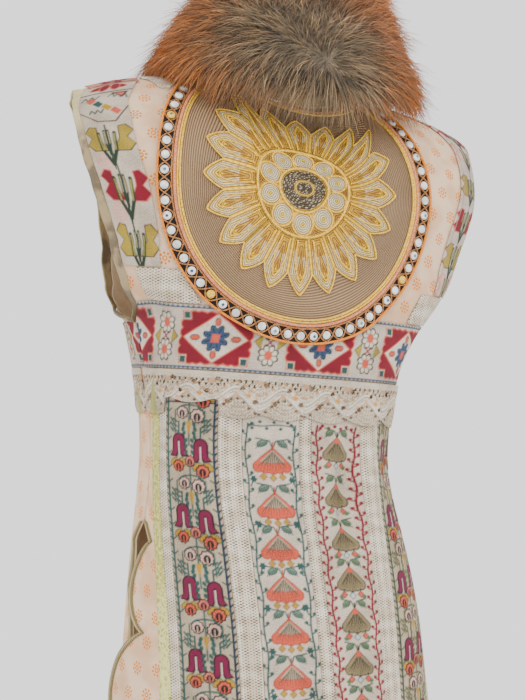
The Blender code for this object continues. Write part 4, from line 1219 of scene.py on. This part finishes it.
# Satin facings past the armholes, with their rumples, and the braids
facing = {"rumple": 0.0008, "low": underarm, "high": shoulder - 0.0016, "columns": 8, "rows": 120}
for side, sideName in faces:
    for hand, name in hands:

        def facingPlace(a, b, side=side, hand=hand):
            height = mixed(facing["low"], facing["high"], b)
            inner = edgeAt(side, height) + seam
            sideLine = np.array([distanceAt(side, math.pi / 2, h) for h in height])
            wanted = mixed(0.004, facingWidth, ease(height, underarm, -0.195))
            width = np.minimum(wanted, sideLine - inner - 0.003)
            turned = -side * hand
            across = inner + width * (a if turned > 0 else 1 - a)
            return turned * across, height

        def rumple(x, height, a, b, hand=hand):
            outer = a if x.mean() > 0 else 1 - a
            wave = np.sin(height * 96 + 2 * np.sin(height * 37) + hand)
            wave = wave + 0.5 * np.sin(height * 211 + 3 * hand * b)
            wave = wave * (0.35 + 0.65 * np.sin(height * 23 + hand) ** 2) + 0.7 * np.sin(height * 47)
            gathered = 1 + 2.2 * ease(-height, 0.15, 0.21)
            return facing["rumple"] * outer * gathered * wave

        panel = "backPanel" if side == back else "frontPanel" + name
        layCloth(f"facing{sideName}{name}", side, facing["columns"], facing["rows"], facingPlace, 0,
                 finishes["satin"], [f"armhole_facing_{sideName.lower()}_{name.lower()}"],
                 restsOn=(panel,), rim=0, relief=rumple, lining=finishes["satin"])


def layBraid(name, side, place, node, rows, acrossShare, along, restsOn):
    def relief(x, height, a, b):
        u = acrossShare(a, b)
        return 0.0007 * np.abs(np.sin(math.pi * 2 * np.clip(u, 0, 1))) + 0.0002 * np.sin(along(a, b) * 2.1)

    def own(a, b, x, height):
        return acrossShare(a, b) * 8, along(a, b)

    columns, rows = (10, rows) if rows > 0 else (-rows, 10)
    layCloth(name, side, columns, rows, place, outerFace, finishes["braid"], [node], relief=relief,
             own=own, restsOn=(restsOn,))


for side, sideName in faces:
    for hand, name in hands:
        turned = -side * hand

        def inner(h, side=side):
            return edgeAt(side, h) - mixed(braidWidth, 0.005, ease(h, ventTop - 0.05, ventTop))

        rests = "backPanel" if side == back else "frontPanel" + name
        ends = mirrored(inner, edgeLess(side, 0.0005), turned)
        layBraid(f"ventBraid{sideName}{name}", side, between(*ends, skirtFoot, ventTop - 0.003),
                 f"vent_braid_{sideName.lower()}_{name.lower()}", 260, lambda a, b: a,
                 lambda a, b: b * 330, rests)
        if side == front:
            start = frontGap + braidWidth + 0.0008
            ends = mirrored(lambda h: start, edgeLess(front, 0.0008), hand)
            layBraid("hemBraidFront" + name, front, between(*ends, hem + 0.0003, hemBraidTop),
                     "hem_braid_front_" + name.lower(), -120, lambda a, b: b, lambda a, b: a * 190, rests)
            edges = (frontGap + 0.0005, frontGap + braidWidth)
            edges = edges if hand > 0 else (-edges[1], -edges[0])
            layBraid("frontBraid" + name, front, between(*edges, hem + 0.0005, yoke),
                     "front_braid_" + name.lower(), 300, lambda a, b: a, lambda a, b: b * 650, rests)
ends = (lambda h: 0.0008 - edgeAt(back, h)), edgeLess(back, 0.0008)
layBraid("hemBraidBack", back, between(*ends, hem + 0.0003, hemBraidTop), "hem_braid_back", -260,
         lambda a, b: b, lambda a, b: a * 440, "backPanel")
print("facings and braids laid")

# Medallion: a rosette of pointed petals on couched cord, inside a ring of beads
medalSpec = {
    "across": 0.017, "height": -0.098, "radius": 0.1352, "drawnIn": 0.95, "lift": 0.0048, "petals": 20,
    "beadCircle": 0.144, "ringRadius": 0.1520, "ringStart": math.radians(132), "ringEnd": math.radians(419),
    "beads": 51, "beadSize": 0.0043, "archCount": 10, "bossEdge": 27, "archEdge": 51, "fineness": 208,
    "flat": (0.257, 0.270), "brassy": (14, 31, 44),  # which beads are brass
}


def medalPlace(radius, turn):
    across = medalSpec["across"] + radius * np.cos(turn) * medalSpec["drawnIn"]
    height = medalSpec["height"] + radius * np.sin(turn)
    limit = neckline(back, across) - 0.004
    reach = (across - medalSpec["across"]) / medalSpec["drawnIn"]
    top = medalSpec["height"] + np.sqrt(np.maximum(medalSpec["ringRadius"] ** 2 - reach**2, 0))
    pressed = (height > yoke) & (top > limit)
    squeezed = yoke + (height - yoke) * (limit - yoke) / np.where(pressed, top - yoke, 1)
    return across, np.where(pressed, squeezed, height)


def medalPoints(radius, turn, lift):
    radius, turn = np.broadcast_arrays(np.asarray(radius, float), np.asarray(turn, float))
    across, height = medalPlace(radius, turn)
    return clothPoint(back, across, height, lift)


def discPolar(a, b):  # the square grid drawn into a round one
    u, v = 2 * a - 1, 2 * b - 1
    x, y = u * np.sqrt(1 - v * v / 2), v * np.sqrt(1 - u * u / 2)
    return np.hypot(x, y) * medalSpec["radius"], np.arctan2(y, -x)


def rosette(r, turn):  # distances in mm: to the petal border, the arch border, and the plain fields
    step = 2 * math.pi / medalSpec["petals"]
    phi = np.abs((turn / step + 0.5) % 1 - 0.5) * step
    border = r * np.sin(step / 2 - phi)
    tip = (86 + 20 * (1 - (phi / (step / 2)) ** 1.25) - r) * 0.72
    petal = np.minimum(np.minimum(border, tip), r - medalSpec["archEdge"])
    wide = 2 * math.pi / medalSpec["archCount"]
    psi = np.abs((turn / wide) % 1 - 0.5) * wide
    arch = np.minimum(11.5 - np.hypot(r - 38, r * np.sin(psi)), 50 - r)
    return petal, arch, phi, psi


def medalOwn(r, turn):
    petal, arch, _, _ = rosette(r, turn)
    swirl = 12.0 * np.sin(3 * turn + 0.6) + 7.0 * np.sin(5 * turn - 1) + 2.5 * np.sin(9 * turn + 2)
    phase = r + swirl * (1 - ease(r, 52, 128))
    phase = np.where(petal > 0, petal, phase)
    phase = np.where(r < medalSpec["archEdge"], np.abs(arch), phase)
    phase = np.where(r < medalSpec["bossEdge"], medalSpec["bossEdge"] - r, phase)
    return phase, turn * np.maximum(r, 8)


def medalRelief(r, turn):
    petal, arch, _, _ = rosette(r, turn)
    swell = 0.0018 * np.sqrt(np.clip(petal / 6, 0, 1))
    middle = 0.0016 + 0.0010 * np.sqrt(np.clip(arch / 8, 0, 1))
    boss = 0.0020 + 0.0014 * (1 - np.clip(r / medalSpec["bossEdge"], 0, 1) ** 2)
    return np.where(r < medalSpec["bossEdge"], boss, np.where(r < medalSpec["archEdge"], middle, swell))


medalTints = {
    "taupe": (186, 160, 130), "gold": (250, 214, 92), "deep": (214, 172, 84), "silver": (240, 232, 210),
    "bright": (254, 222, 66), "pewter": (112, 98, 78), "cream": (236, 224, 196), "bronze": (190, 152, 90),
}


def medalPaint(r, turn):
    petal, arch, phi, psi = rosette(r, turn)
    tints = {name: np.array(shade(*value)) for name, value in medalTints.items()}
    colour = np.tile(tints["taupe"], (len(r), 1))
    wander = 0.5 + 0.5 * np.sin(r / 9 + 3 * turn)
    colour *= (0.90 + 0.16 * wander)[:, None]

    def put(mask, name):
        share = np.clip(mask, 0, 1)[:, None]
        colour[:] = colour + (tints[name] - colour) * share

    def ringed(value, low, high, soft=0.5):
        return np.clip((value - low) / soft + 0.5, 0, 1) * np.clip((high - value) / soft + 0.5, 0, 1)

    inPetal = np.clip(petal / 0.5 + 0.5, 0, 1) * (r > 50)
    put(inPetal, "deep")
    put(ringed(petal, 0, 2.1) * inPetal, "gold")
    put(ringed(petal, 2.9, 5.0) * inPetal * (r > 62), "silver")
    put(ringed(petal, 5.0, 6.6) * inPetal, "gold")
    put(ringed(petal, 6.6, 9.0) * inPetal * (r > 70), "silver")
    put(ringed(np.hypot((r - 91), r * phi), -1, 4.2) * inPetal, "bright")
    put(ringed(np.hypot((r - 91), r * phi), -1, 1.5) * inPetal, "deep")
    inner = np.clip((medalSpec["archEdge"] - r) / 0.6 + 0.5, 0, 1)
    put(inner, "bronze")
    put(ringed(-arch, 0.3, 2.2) * inner, "gold")
    put(ringed(arch, 0, 2.2) * inner, "gold")
    put(ringed(arch, 2.2, 30) * inner, "cream")
    put(ringed(np.hypot(r - 39, r * np.sin(psi)), -1, 2.6) * inner, "bright")
    put(ringed(r, 48.5, 51.5), "gold")
    put(np.clip((medalSpec["bossEdge"] - r) / 0.6 + 0.5, 0, 1), "pewter")
    sparkle = np.sin(r * 1.9) * np.sin(turn * 17 + r * 0.4) > 0.55
    put(np.where(sparkle & (r < 24), 0.85, 0), "silver")
    put(ringed(r, 24.5, 28.5), "gold")
    put(ringed(r, 9, 11.5), "gold")
    return colour


def layMedal():
    mesh = intoMesh("medallion", makeGrid(medalSpec["fineness"], medalSpec["fineness"]))
    spots = meshPlaces(mesh)
    radius, turn = discPolar(spots[:, 0] + 0.5, spots[:, 1] + 0.5)
    across, height = medalPlace(radius, turn)
    r = radius * 1000
    setFlat(mesh, *medalOwn(r, turn))
    setPaint(mesh, medalPaint(r, turn))
    placeMesh(mesh, clothPoint(back, across, height, medalSpec["lift"] + medalRelief(r, turn)))
    mesh.shade_smooth()
    made = addObject("medallion", mesh, finishes["cord"], ["medal"])
    wide, tall = medalSpec["flat"]
    cloths.append((made, (wide, tall), math.pi * wide * tall / 4, "stretched", ("backPanel",)))


def cordPiece(name, paths, radius, finish, closed=False):
    curve = bpy.data.curves.new(name + "Line", "CURVE")
    curve.dimensions = "3D"
    curve.bevel_depth = radius
    curve.bevel_resolution = 1
    curve.use_fill_caps = True
    for path in paths:
        spline = curve.splines.new("POLY")
        spline.points.add(len(path) - 1)
        places = np.column_stack([path, np.ones(len(path))])
        spline.points.foreach_set("co", places.astype(np.float32).ravel())
        spline.use_cyclic_u = closed
    holder = bpy.data.objects.new(name + "Line", curve)
    bpy.context.scene.collection.objects.link(holder)
    bpy.context.view_layer.update()
    mesh = bpy.data.meshes.new_from_object(holder.evaluated_get(bpy.context.evaluated_depsgraph_get()))
    bpy.data.objects.remove(holder)
    mesh.name = name
    mesh.shade_smooth()
    return addObject(name, mesh, finish)


layMedal()
start, end = medalSpec["ringStart"], medalSpec["ringEnd"]
ringTurns = np.linspace(start, end, 420)
allTurns = np.linspace(0, 2 * math.pi, 460)[:-1]
lift = medalSpec["lift"]


def beadPlace(a, b):
    across, height = medalPlace(mixed(0.1350, medalSpec["ringRadius"], b), mixed(start, end, a))
    return -across, height


layCloth("beadGround", back, 300, 6, beadPlace, lift, finishes["velvet"], ["medal_ring"],
         rim=0.0022, own=lambda a, b, x, height: (a * 700, b * 17))
for name, at, up, thick, finish in (("outerCord", 0.1512, 0.0010, 0.0013, "orange"),
                                    ("innerCord", 0.1372, 0.0008, 0.0010, "copper")):
    cordPiece(name, [medalPoints(at, ringTurns, lift + up)], thick, finishes[finish])
cordPiece("salmonTwist", [medalPoints(0.1345, allTurns, lift + 0.0011)], 0.0016, finishes["salmon"],
          True)
cordPiece("goldRings", [medalPoints(r, allTurns, lift + 0.0008) for r in (0.1316, 0.1292)], 0.0011,
          finishes["goldCord"], True)
waveTurns = np.linspace(start, end, medalSpec["beads"] * 14)
phase = (waveTurns - start) / (end - start) * medalSpec["beads"] * math.pi
cordPiece("waveCords", [medalPoints(medalSpec["beadCircle"] + lean * 0.0058 * np.sin(phase), waveTurns,
                                    lift + 0.0011 + lean * 0.0004 * np.cos(phase)) for lean in (-1, 1)],
          0.0008, finishes["copper"])
petalLines = []
halfStep = math.pi / medalSpec["petals"]
for k in range(medalSpec["petals"]):
    lean = np.linspace(-1, 1, 29)
    tip = (86 + 20 * (1 - np.abs(lean) ** 1.25)) / 1000
    turns = k * 2 * halfStep + lean * halfStep * 0.985
    petalLines.append(medalPoints(tip, turns, lift + 0.0016))
    inner = (74 + 20 * (1 - np.abs(lean) ** 1.6)) / 1000
    petalLines.append(medalPoints(inner, k * 2 * halfStep + lean * halfStep * 0.52, lift + 0.0025))
    for side in (-1, 1):
        radii = np.linspace(0.054, 0.074, 8)
        petalLines.append(medalPoints(radii, k * 2 * halfStep + side * halfStep * 0.52, lift + 0.0024))
cordPiece("petalCords", petalLines, 0.00085, finishes["goldCord"])
innerRings = [medalPoints(r, allTurns, lift + up) for r, up in ((0.0505, 0.0026), (0.0270, 0.0030))]
cordPiece("rosetteRings", innerRings, 0.0013, finishes["goldCord"], True)
archLines = []
for k in range(medalSpec["archCount"]):
    turn = math.radians((k + 0.5) * 360 / medalSpec["archCount"])
    sweep = np.linspace(-2.4, 2.4, 22)
    px, py = 38 + 11.2 * np.cos(sweep), 11.2 * np.sin(sweep)
    archLines.append(medalPoints(np.hypot(px, py) / 1000, turn + np.arctan2(py, px), lift + 0.0024))
cordPiece("archCords", archLines, 0.0008, finishes["goldCord"])


def layBeads(name, chosen, size, flatness, up, finish):
    mesh = bmesh.new()
    for k in chosen:
        turn = mixed(start, end, (k + 0.5) / medalSpec["beads"])
        middle = Vector(medalPoints([medalSpec["beadCircle"]], [turn], lift + up)[0])
        far = Vector(medalPoints([medalSpec["beadCircle"] + 0.003], [turn], lift + up)[0])
        beside = Vector(medalPoints([medalSpec["beadCircle"]], [turn + 0.02], lift + up)[0])
        radial, along = (far - middle).normalized(), (beside - middle).normalized()
        outwards = along.cross(radial).normalized()
        outwards = outwards if outwards.y > 0 else -outwards
        basis = Matrix((radial, outwards.cross(radial), outwards * flatness)).transposed().to_4x4()
        bmesh.ops.create_uvsphere(mesh, u_segments=16, v_segments=8, radius=size,
                                  matrix=Matrix.Translation(middle) @ basis)
    bmesh.ops.recalc_face_normals(mesh, faces=mesh.faces)
    data = intoMesh(name, mesh)
    data.shade_smooth()
    addObject(name, data, finish)


beads = range(medalSpec["beads"])
holed = [k for k in beads if k % 7 in (2, 5)]
pearly = [k for k in beads if k not in medalSpec["brassy"]]
layBeads("beads", pearly, medalSpec["beadSize"], 0.48, 0.0010, finishes["pearl"])
layBeads("brassBeads", medalSpec["brassy"], medalSpec["beadSize"], 0.5, 0.0010, finishes["goldCord"])
layBeads("beadEyes", holed, 0.0016, 0.5, 0.0027, finishes["beadEye"])
print("medallion laid")

# Collar: the stand, and the fur
standHeight = 0.030
furSection = np.array((  # share of the reach outwards, share of the height
    (0.00, 0.09), (0.00, 0.30), (0.00, 0.52), (0.02, 0.72), (0.08, 0.89), (0.20, 0.99), (0.33, 0.97),
    (0.45, 0.87), (0.56, 0.73), (0.68, 0.55), (0.82, 0.35), (1.00, 0.11), (0.95, 0.00), (0.66, 0.00),
    (0.36, 0.03), (0.12, 0.06),
))
furFall = np.array((  # share of the neck edge, droop, reach, height
    (0.00, 0.000, 0.026, 0.040), (0.15, 0.002, 0.046, 0.052), (0.30, 0.000, 0.080, 0.086),
    (0.40, 0.006, 0.087, 0.122), (0.50, 0.014, 0.088, 0.138), (0.70, 0.016, 0.080, 0.122),
    (0.85, 0.004, 0.054, 0.074), (1.00, 0.000, 0.026, 0.040),
))
furSpec = {
    "middle": (0.42, 0.44), "core": 0.72, "depth": 0.16,
    "coatPower": 15, "coatLength": 0.025, "coatWidth": 0.00075,  # two to the power of it: how many hairs
    "guardPower": 14, "guardLength": 0.033, "guardWidth": 0.00060,
    "lay": 0.24, "stray": 0.22, "tuft": 0.24, "clear": 0.12, "droop": 0.66,  # how the hairs lean and hang
    "partingFrom": (0.089, 0.150, 0.075), "partingTo": (-0.005, 0.165, 0.035),
}


def neckEdge():
    fronts = np.array((0.009, 0.030, 0.052, 0.064, 0.068))
    columns = np.array((0.064, 0.044, 0.025, 0.0065, -0.0065, -0.021, -0.034, -0.044, -0.053, -0.064))
    backs = np.interp(columns, (-0.087, -0.064, 0.064, 0.087), (-0.068, -0.060, 0.060, 0.068))
    half = np.full(5, -clothThickness / 2)
    left = clothPoint(front, fronts, neckline(front, fronts), half)
    right = clothPoint(front, -fronts[::-1], neckline(front, fronts[::-1]), half)
    middle = clothPoint(back, backs, neckline(back, backs), np.full(len(backs), -clothThickness / 2))
    return np.concatenate([left, middle, right])


neckPoints = neckEdge()
neckLengths = np.concatenate([[0], np.cumsum(np.linalg.norm(np.diff(neckPoints, axis=0), axis=1))])
neckShares = neckLengths / neckLengths[-1]


def readNeck(share):
    point = np.column_stack([np.interp(share, neckShares, neckPoints[:, k]) for k in range(3)])
    away = point[:, :2] - np.array((-0.012, 0.0))
    return point, away / np.linalg.norm(away, axis=1, keepdims=True)


def furPoint(lean, turn, scale):  # lean and turn run 0 to 1: along the collar, and round its section
    share = mixed(0.03, 0.97, lean)
    swell = np.sqrt(np.maximum(np.sin(lean * math.pi), 0))
    point, away = readNeck(share)
    droop, reach, tall = [smoothCurve(share, furFall[:, 0], furFall[:, k]) for k in (1, 2, 3)]
    around = np.concatenate([furSection, furSection[:1]])
    stops = np.linspace(0, 1, 17)
    out, up = [np.interp(turn % 1, stops, around[:, k]) for k in (0, 1)]
    out = furSpec["middle"][0] + (out - furSpec["middle"][0]) * scale
    up = furSpec["middle"][1] + (up - furSpec["middle"][1]) * scale
    rise = 0.0085 + (tall * up - droop * out * (1 - up)) * swell
    out = clothThickness / 2 + 0.0024 + reach * out * swell
    return np.column_stack([point[:, :2] + away * out[:, None], point[:, 2] + rise])


def collarStand():
    mesh = intoMesh("collarStand", makeGrid(90, 6))
    spots = meshPlaces(mesh)
    point, away = readNeck(spots[:, 0] + 0.5)
    rise = clothThickness / 2 + 0.0006 + standHeight * (spots[:, 1] + 0.5)
    out = clothThickness / 2 + 0.0003 * np.sin(spots[:, 0] * 120)
    setFlat(mesh, spots[:, 0] * 450, spots[:, 1] * 30)
    placeMesh(mesh, np.column_stack([point[:, :2] + away * out[:, None], point[:, 2] + rise]))
    mesh.shade_smooth()
    made = addObject("collarStand", mesh, finishes["satin"], ["collar_band"])
    thicken(made, 0)
    cloths.append((made, (float(neckLengths[-1]), standHeight), None, "stretched", ("backPanel",)))


coreShade = 0.8  # the body under the hairs, darkened as painted shade within the fur
furColours = {
    "root": (70, 60, 50), "grey": (170, 152, 122), "rust": (202, 134, 60), "tip": (54, 36, 26),
    "rustRoot": (106, 68, 36),
}


def furTints(toParting, lean, along, random, guard):
    root, grey, rust, tip, rustRoot = [np.array(shade(*colour)) for colour in furColours.values()]
    streak = np.sin(lean * 61 + 2 * np.sin(lean * 23)) * 0.5 + 0.5
    outerShare = ease(toParting, 0.045, 0.092) * (0.75 + 0.4 * streak) + 0.5 * (random - 0.5)
    outerShare = np.clip(outerShare, 0, 1)[:, None]
    grey = root + (grey - root) * (0.25 + 0.75 * ease(toParting, 0.006, 0.050))[:, None]
    body = grey * (0.62 + 0.7 * random[:, None]) * (1 - outerShare)
    body = body + rust * (0.60 + 0.75 * random[:, None]) * outerShare
    base = root * (1 - outerShare) + rustRoot * outerShare
    rise = ease(along, 0.0, 0.42)[:, None]
    colour = base * (1 - rise) + body * rise
    mottled = (0.5 + 0.5 * np.sin(lean * 170 + 9 * random + 14 * toParting / 0.05))[:, None]
    colour = colour * (0.62 + 0.5 * mottled)
    dark = ease(along, 0.50, 0.95)[:, None] * ((0.92 if guard else 0.34) * (0.55 + 0.45 * mottled))
    return colour * (1 - dark) + tip * dark


def furCore():
    mesh = bmesh.new()
    bmesh.ops.create_uvsphere(mesh, u_segments=64, v_segments=96, radius=1.0)
    data = intoMesh("furCore", mesh)
    spots = meshPlaces(data)
    lean = np.arccos(np.clip(spots[:, 2], -1, 1)) / math.pi
    turn = np.arctan2(spots[:, 1], spots[:, 0]) / (2 * math.pi)
    points = furPoint(lean, turn, furSpec["core"])
    placeMesh(data, points)
    far, _ = partingVectors(points)
    colour = furTints(far, lean, np.full(len(lean), 0.25), np.full(len(lean), 0.5), False) * coreShade
    setPaint(data, colour)
    setAttribute(data, "flat", "FLOAT_VECTOR", points * 1000)
    shell = bmesh.new()
    shell.from_mesh(data)
    bmesh.ops.recalc_face_normals(shell, faces=shell.faces)
    shell.to_mesh(data)
    shell.free()
    data.shade_smooth()
    addObject("furCore", data, finishes["fur"], ["fur_collar"])


def partingVectors(points):
    a, b = np.array(furSpec["partingFrom"]), np.array(furSpec["partingTo"])
    part = np.clip((points - a) @ (b - a) / ((b - a) @ (b - a)), 0, 1)
    toward = points - (a + part[:, None] * (b - a))
    far = np.linalg.norm(toward, axis=1)
    return far, toward / np.maximum(far, 1e-6)[:, None]


def unit(v):
    return v / np.maximum(np.linalg.norm(v, axis=1, keepdims=True), 1e-9)


def layHair(name, power, length, width, seed, guard):
    blade = bmesh.new()
    bmesh.ops.create_grid(blade, x_segments=1, y_segments=2, size=0.5)
    for _ in range(power):
        bmesh.ops.duplicate(blade, geom=blade.verts[:] + blade.edges[:] + blade.faces[:])
    data = intoMesh(name, blade)
    spots = meshPlaces(data)
    count = 2**power
    strand = np.arange(len(spots)) // 6
    side, along = np.sign(spots[:, 0]), spots[:, 1] + 0.5
    rng = np.random.default_rng(seed)
    lean = 0.012 + 0.976 * (rng.random(count) + rng.random(count)) / 2
    lean = np.where(rng.random(count) < 0.55, lean, 0.012 + 0.976 * rng.random(count))
    turn = np.where(rng.random(count) < 0.86, 2.2 + 10.0 * rng.random(count), 16 * rng.random(count)) / 16
    cells = (lean * 64 + 0.6 * np.sin(turn * 90)).astype(int) * 40
    cells = cells + (turn * 36 + 0.6 * np.sin(lean * 150)).astype(int)
    tufts = 4000  # more than the cells that the collar is parted into
    tuftLean, tuftTone = rng.normal(0, 1, (tufts, 3))[cells], rng.random(tufts)[cells]
    roots = furPoint(lean, turn, furSpec["core"] + furSpec["depth"] * rng.random(count) ** 2)
    centre = furPoint(lean, turn, 0.02)
    ahead, behind = [furPoint(np.clip(lean + step, 0, 1), turn, furSpec["core"]) for step in (0.01, -0.01)]
    over, under = [furPoint(lean, turn + step, furSpec["core"]) for step in (0.012, -0.012)]
    normal = unit(np.cross(ahead - behind, over - under))
    normal *= np.sign(np.sum(normal * (roots - centre), axis=1, keepdims=True))
    far, toward = partingVectors(roots)
    toward = unit(toward - normal * np.sum(toward * normal, axis=1, keepdims=True))
    clump = np.sin(lean * 190 + 3 * np.sin(turn * 40)) * np.cos(turn * 60 + lean * 50)
    heading = normal * furSpec["lay"] + toward * (0.35 + 0.65 * ease(far, 0.0, 0.03))[:, None]
    beside = 0.22 * clump[:, None] * np.roll(toward, 1, axis=1)
    heading += rng.normal(0, furSpec["stray"], (count, 3)) + beside
    heading += tuftLean * furSpec["tuft"]
    heading[:, 2] -= 0.10
    heading = unit(heading)
    heading += normal * np.maximum(furSpec["clear"] - np.sum(heading * normal, axis=1, keepdims=True), 0)
    reach = length * (0.80 + 0.25 * ease(far, 0.0, 0.06))
    reach = reach * (0.70 + 0.36 * rng.random(count) + 0.16 * tuftTone)
    reach *= 0.45 + 0.55 * ease(np.minimum(lean, 1 - lean), 0.0, 0.16)
    sag = rng.normal(0, 0.10, (count, 3)) + toward * 0.22
    sag[:, 2] -= furSpec["droop"] + 0.1 * (1 - np.clip(normal[:, 2], 0, 1))
    flatways = unit(np.cross(heading, rng.normal(0, 1, (count, 3))))
    s = along[:, None]
    path = roots[strand] + (heading[strand] * s + sag[strand] * s * s * 0.5) * reach[strand, None]
    half = width * (1 - 0.88 * along**1.5) * (0.7 + 0.6 * rng.random(count))[strand]
    path += flatways[strand] * (side * half / 2)[:, None]
    random = rng.random(count)
    colour = furTints(far[strand], lean[strand], along, random[strand], guard)
    colour *= (0.58 + 0.66 * tuftTone)[strand, None]
    setPaint(data, colour)
    setAttribute(data, "flat", "FLOAT_VECTOR", roots[strand] * 1000)
    placeMesh(data, path)
    data.shade_smooth()
    addObject(name, data, finishes["fur"])


collarStand()
furCore()
for name, kind, seed in (("furCoat", "coat", 11), ("furGuard", "guard", 12)):
    power, length, width = [furSpec[kind + part] for part in ("Power", "Length", "Width")]
    layHair(name, power, length, width, seed, kind == "guard")
print("collar laid")

# Studio: a plain pale floor and soft light
studio = {
    "floorLevel": -0.86, "floorRadius": 1.25, "world": 1.60, "aim": (0, 0, -0.3),
    "lights": (  # name, place, size, power
        ("keyLight", (1.3, 2.1, 1.1), 1.4, 42), ("fillLight", (-1.6, 1.4, 0.3), 1.6, 15),
        ("frontLight", (-0.6, -2.2, 0.9), 1.6, 20),
    ),
}


def softLight(name, place, size, power, aim):
    light = bpy.data.objects.new(name, bpy.data.lights.new(name, "AREA"))
    bpy.context.scene.collection.objects.link(light)
    light.data.size = size
    light.data.energy = power
    light.location = place
    light.rotation_mode = "QUATERNION"
    light.rotation_quaternion = (Vector(aim) - Vector(place)).to_track_quat("-Z", "Y")


def makeStudio(spec):
    disc = bmesh.new()
    bmesh.ops.create_circle(disc, cap_ends=True, segments=96, radius=spec["floorRadius"])
    bmesh.ops.translate(disc, verts=disc.verts, vec=(0, 0, spec["floorLevel"]))
    mesh = intoMesh("floor", disc)
    floor = bpy.data.objects.new("floor", mesh)
    bpy.context.scene.collection.objects.link(floor)
    pale = plainFinish("paleFloor", (232, 231, 229), (240, 239, 237), 3, Roughness=0.9)
    mesh.materials.append(pale.material)
    world = bpy.data.worlds.new("studio")
    bpy.context.scene.world = world
    world.use_nodes = True
    background = world.node_tree.nodes["Background"]
    background.inputs["Color"].default_value = (1, 1, 1, 1)
    background.inputs["Strength"].default_value = spec["world"]
    for light in spec["lights"]:
        softLight(*light, spec["aim"])


makeStudio(studio)
declareSheets()
print("studio made")
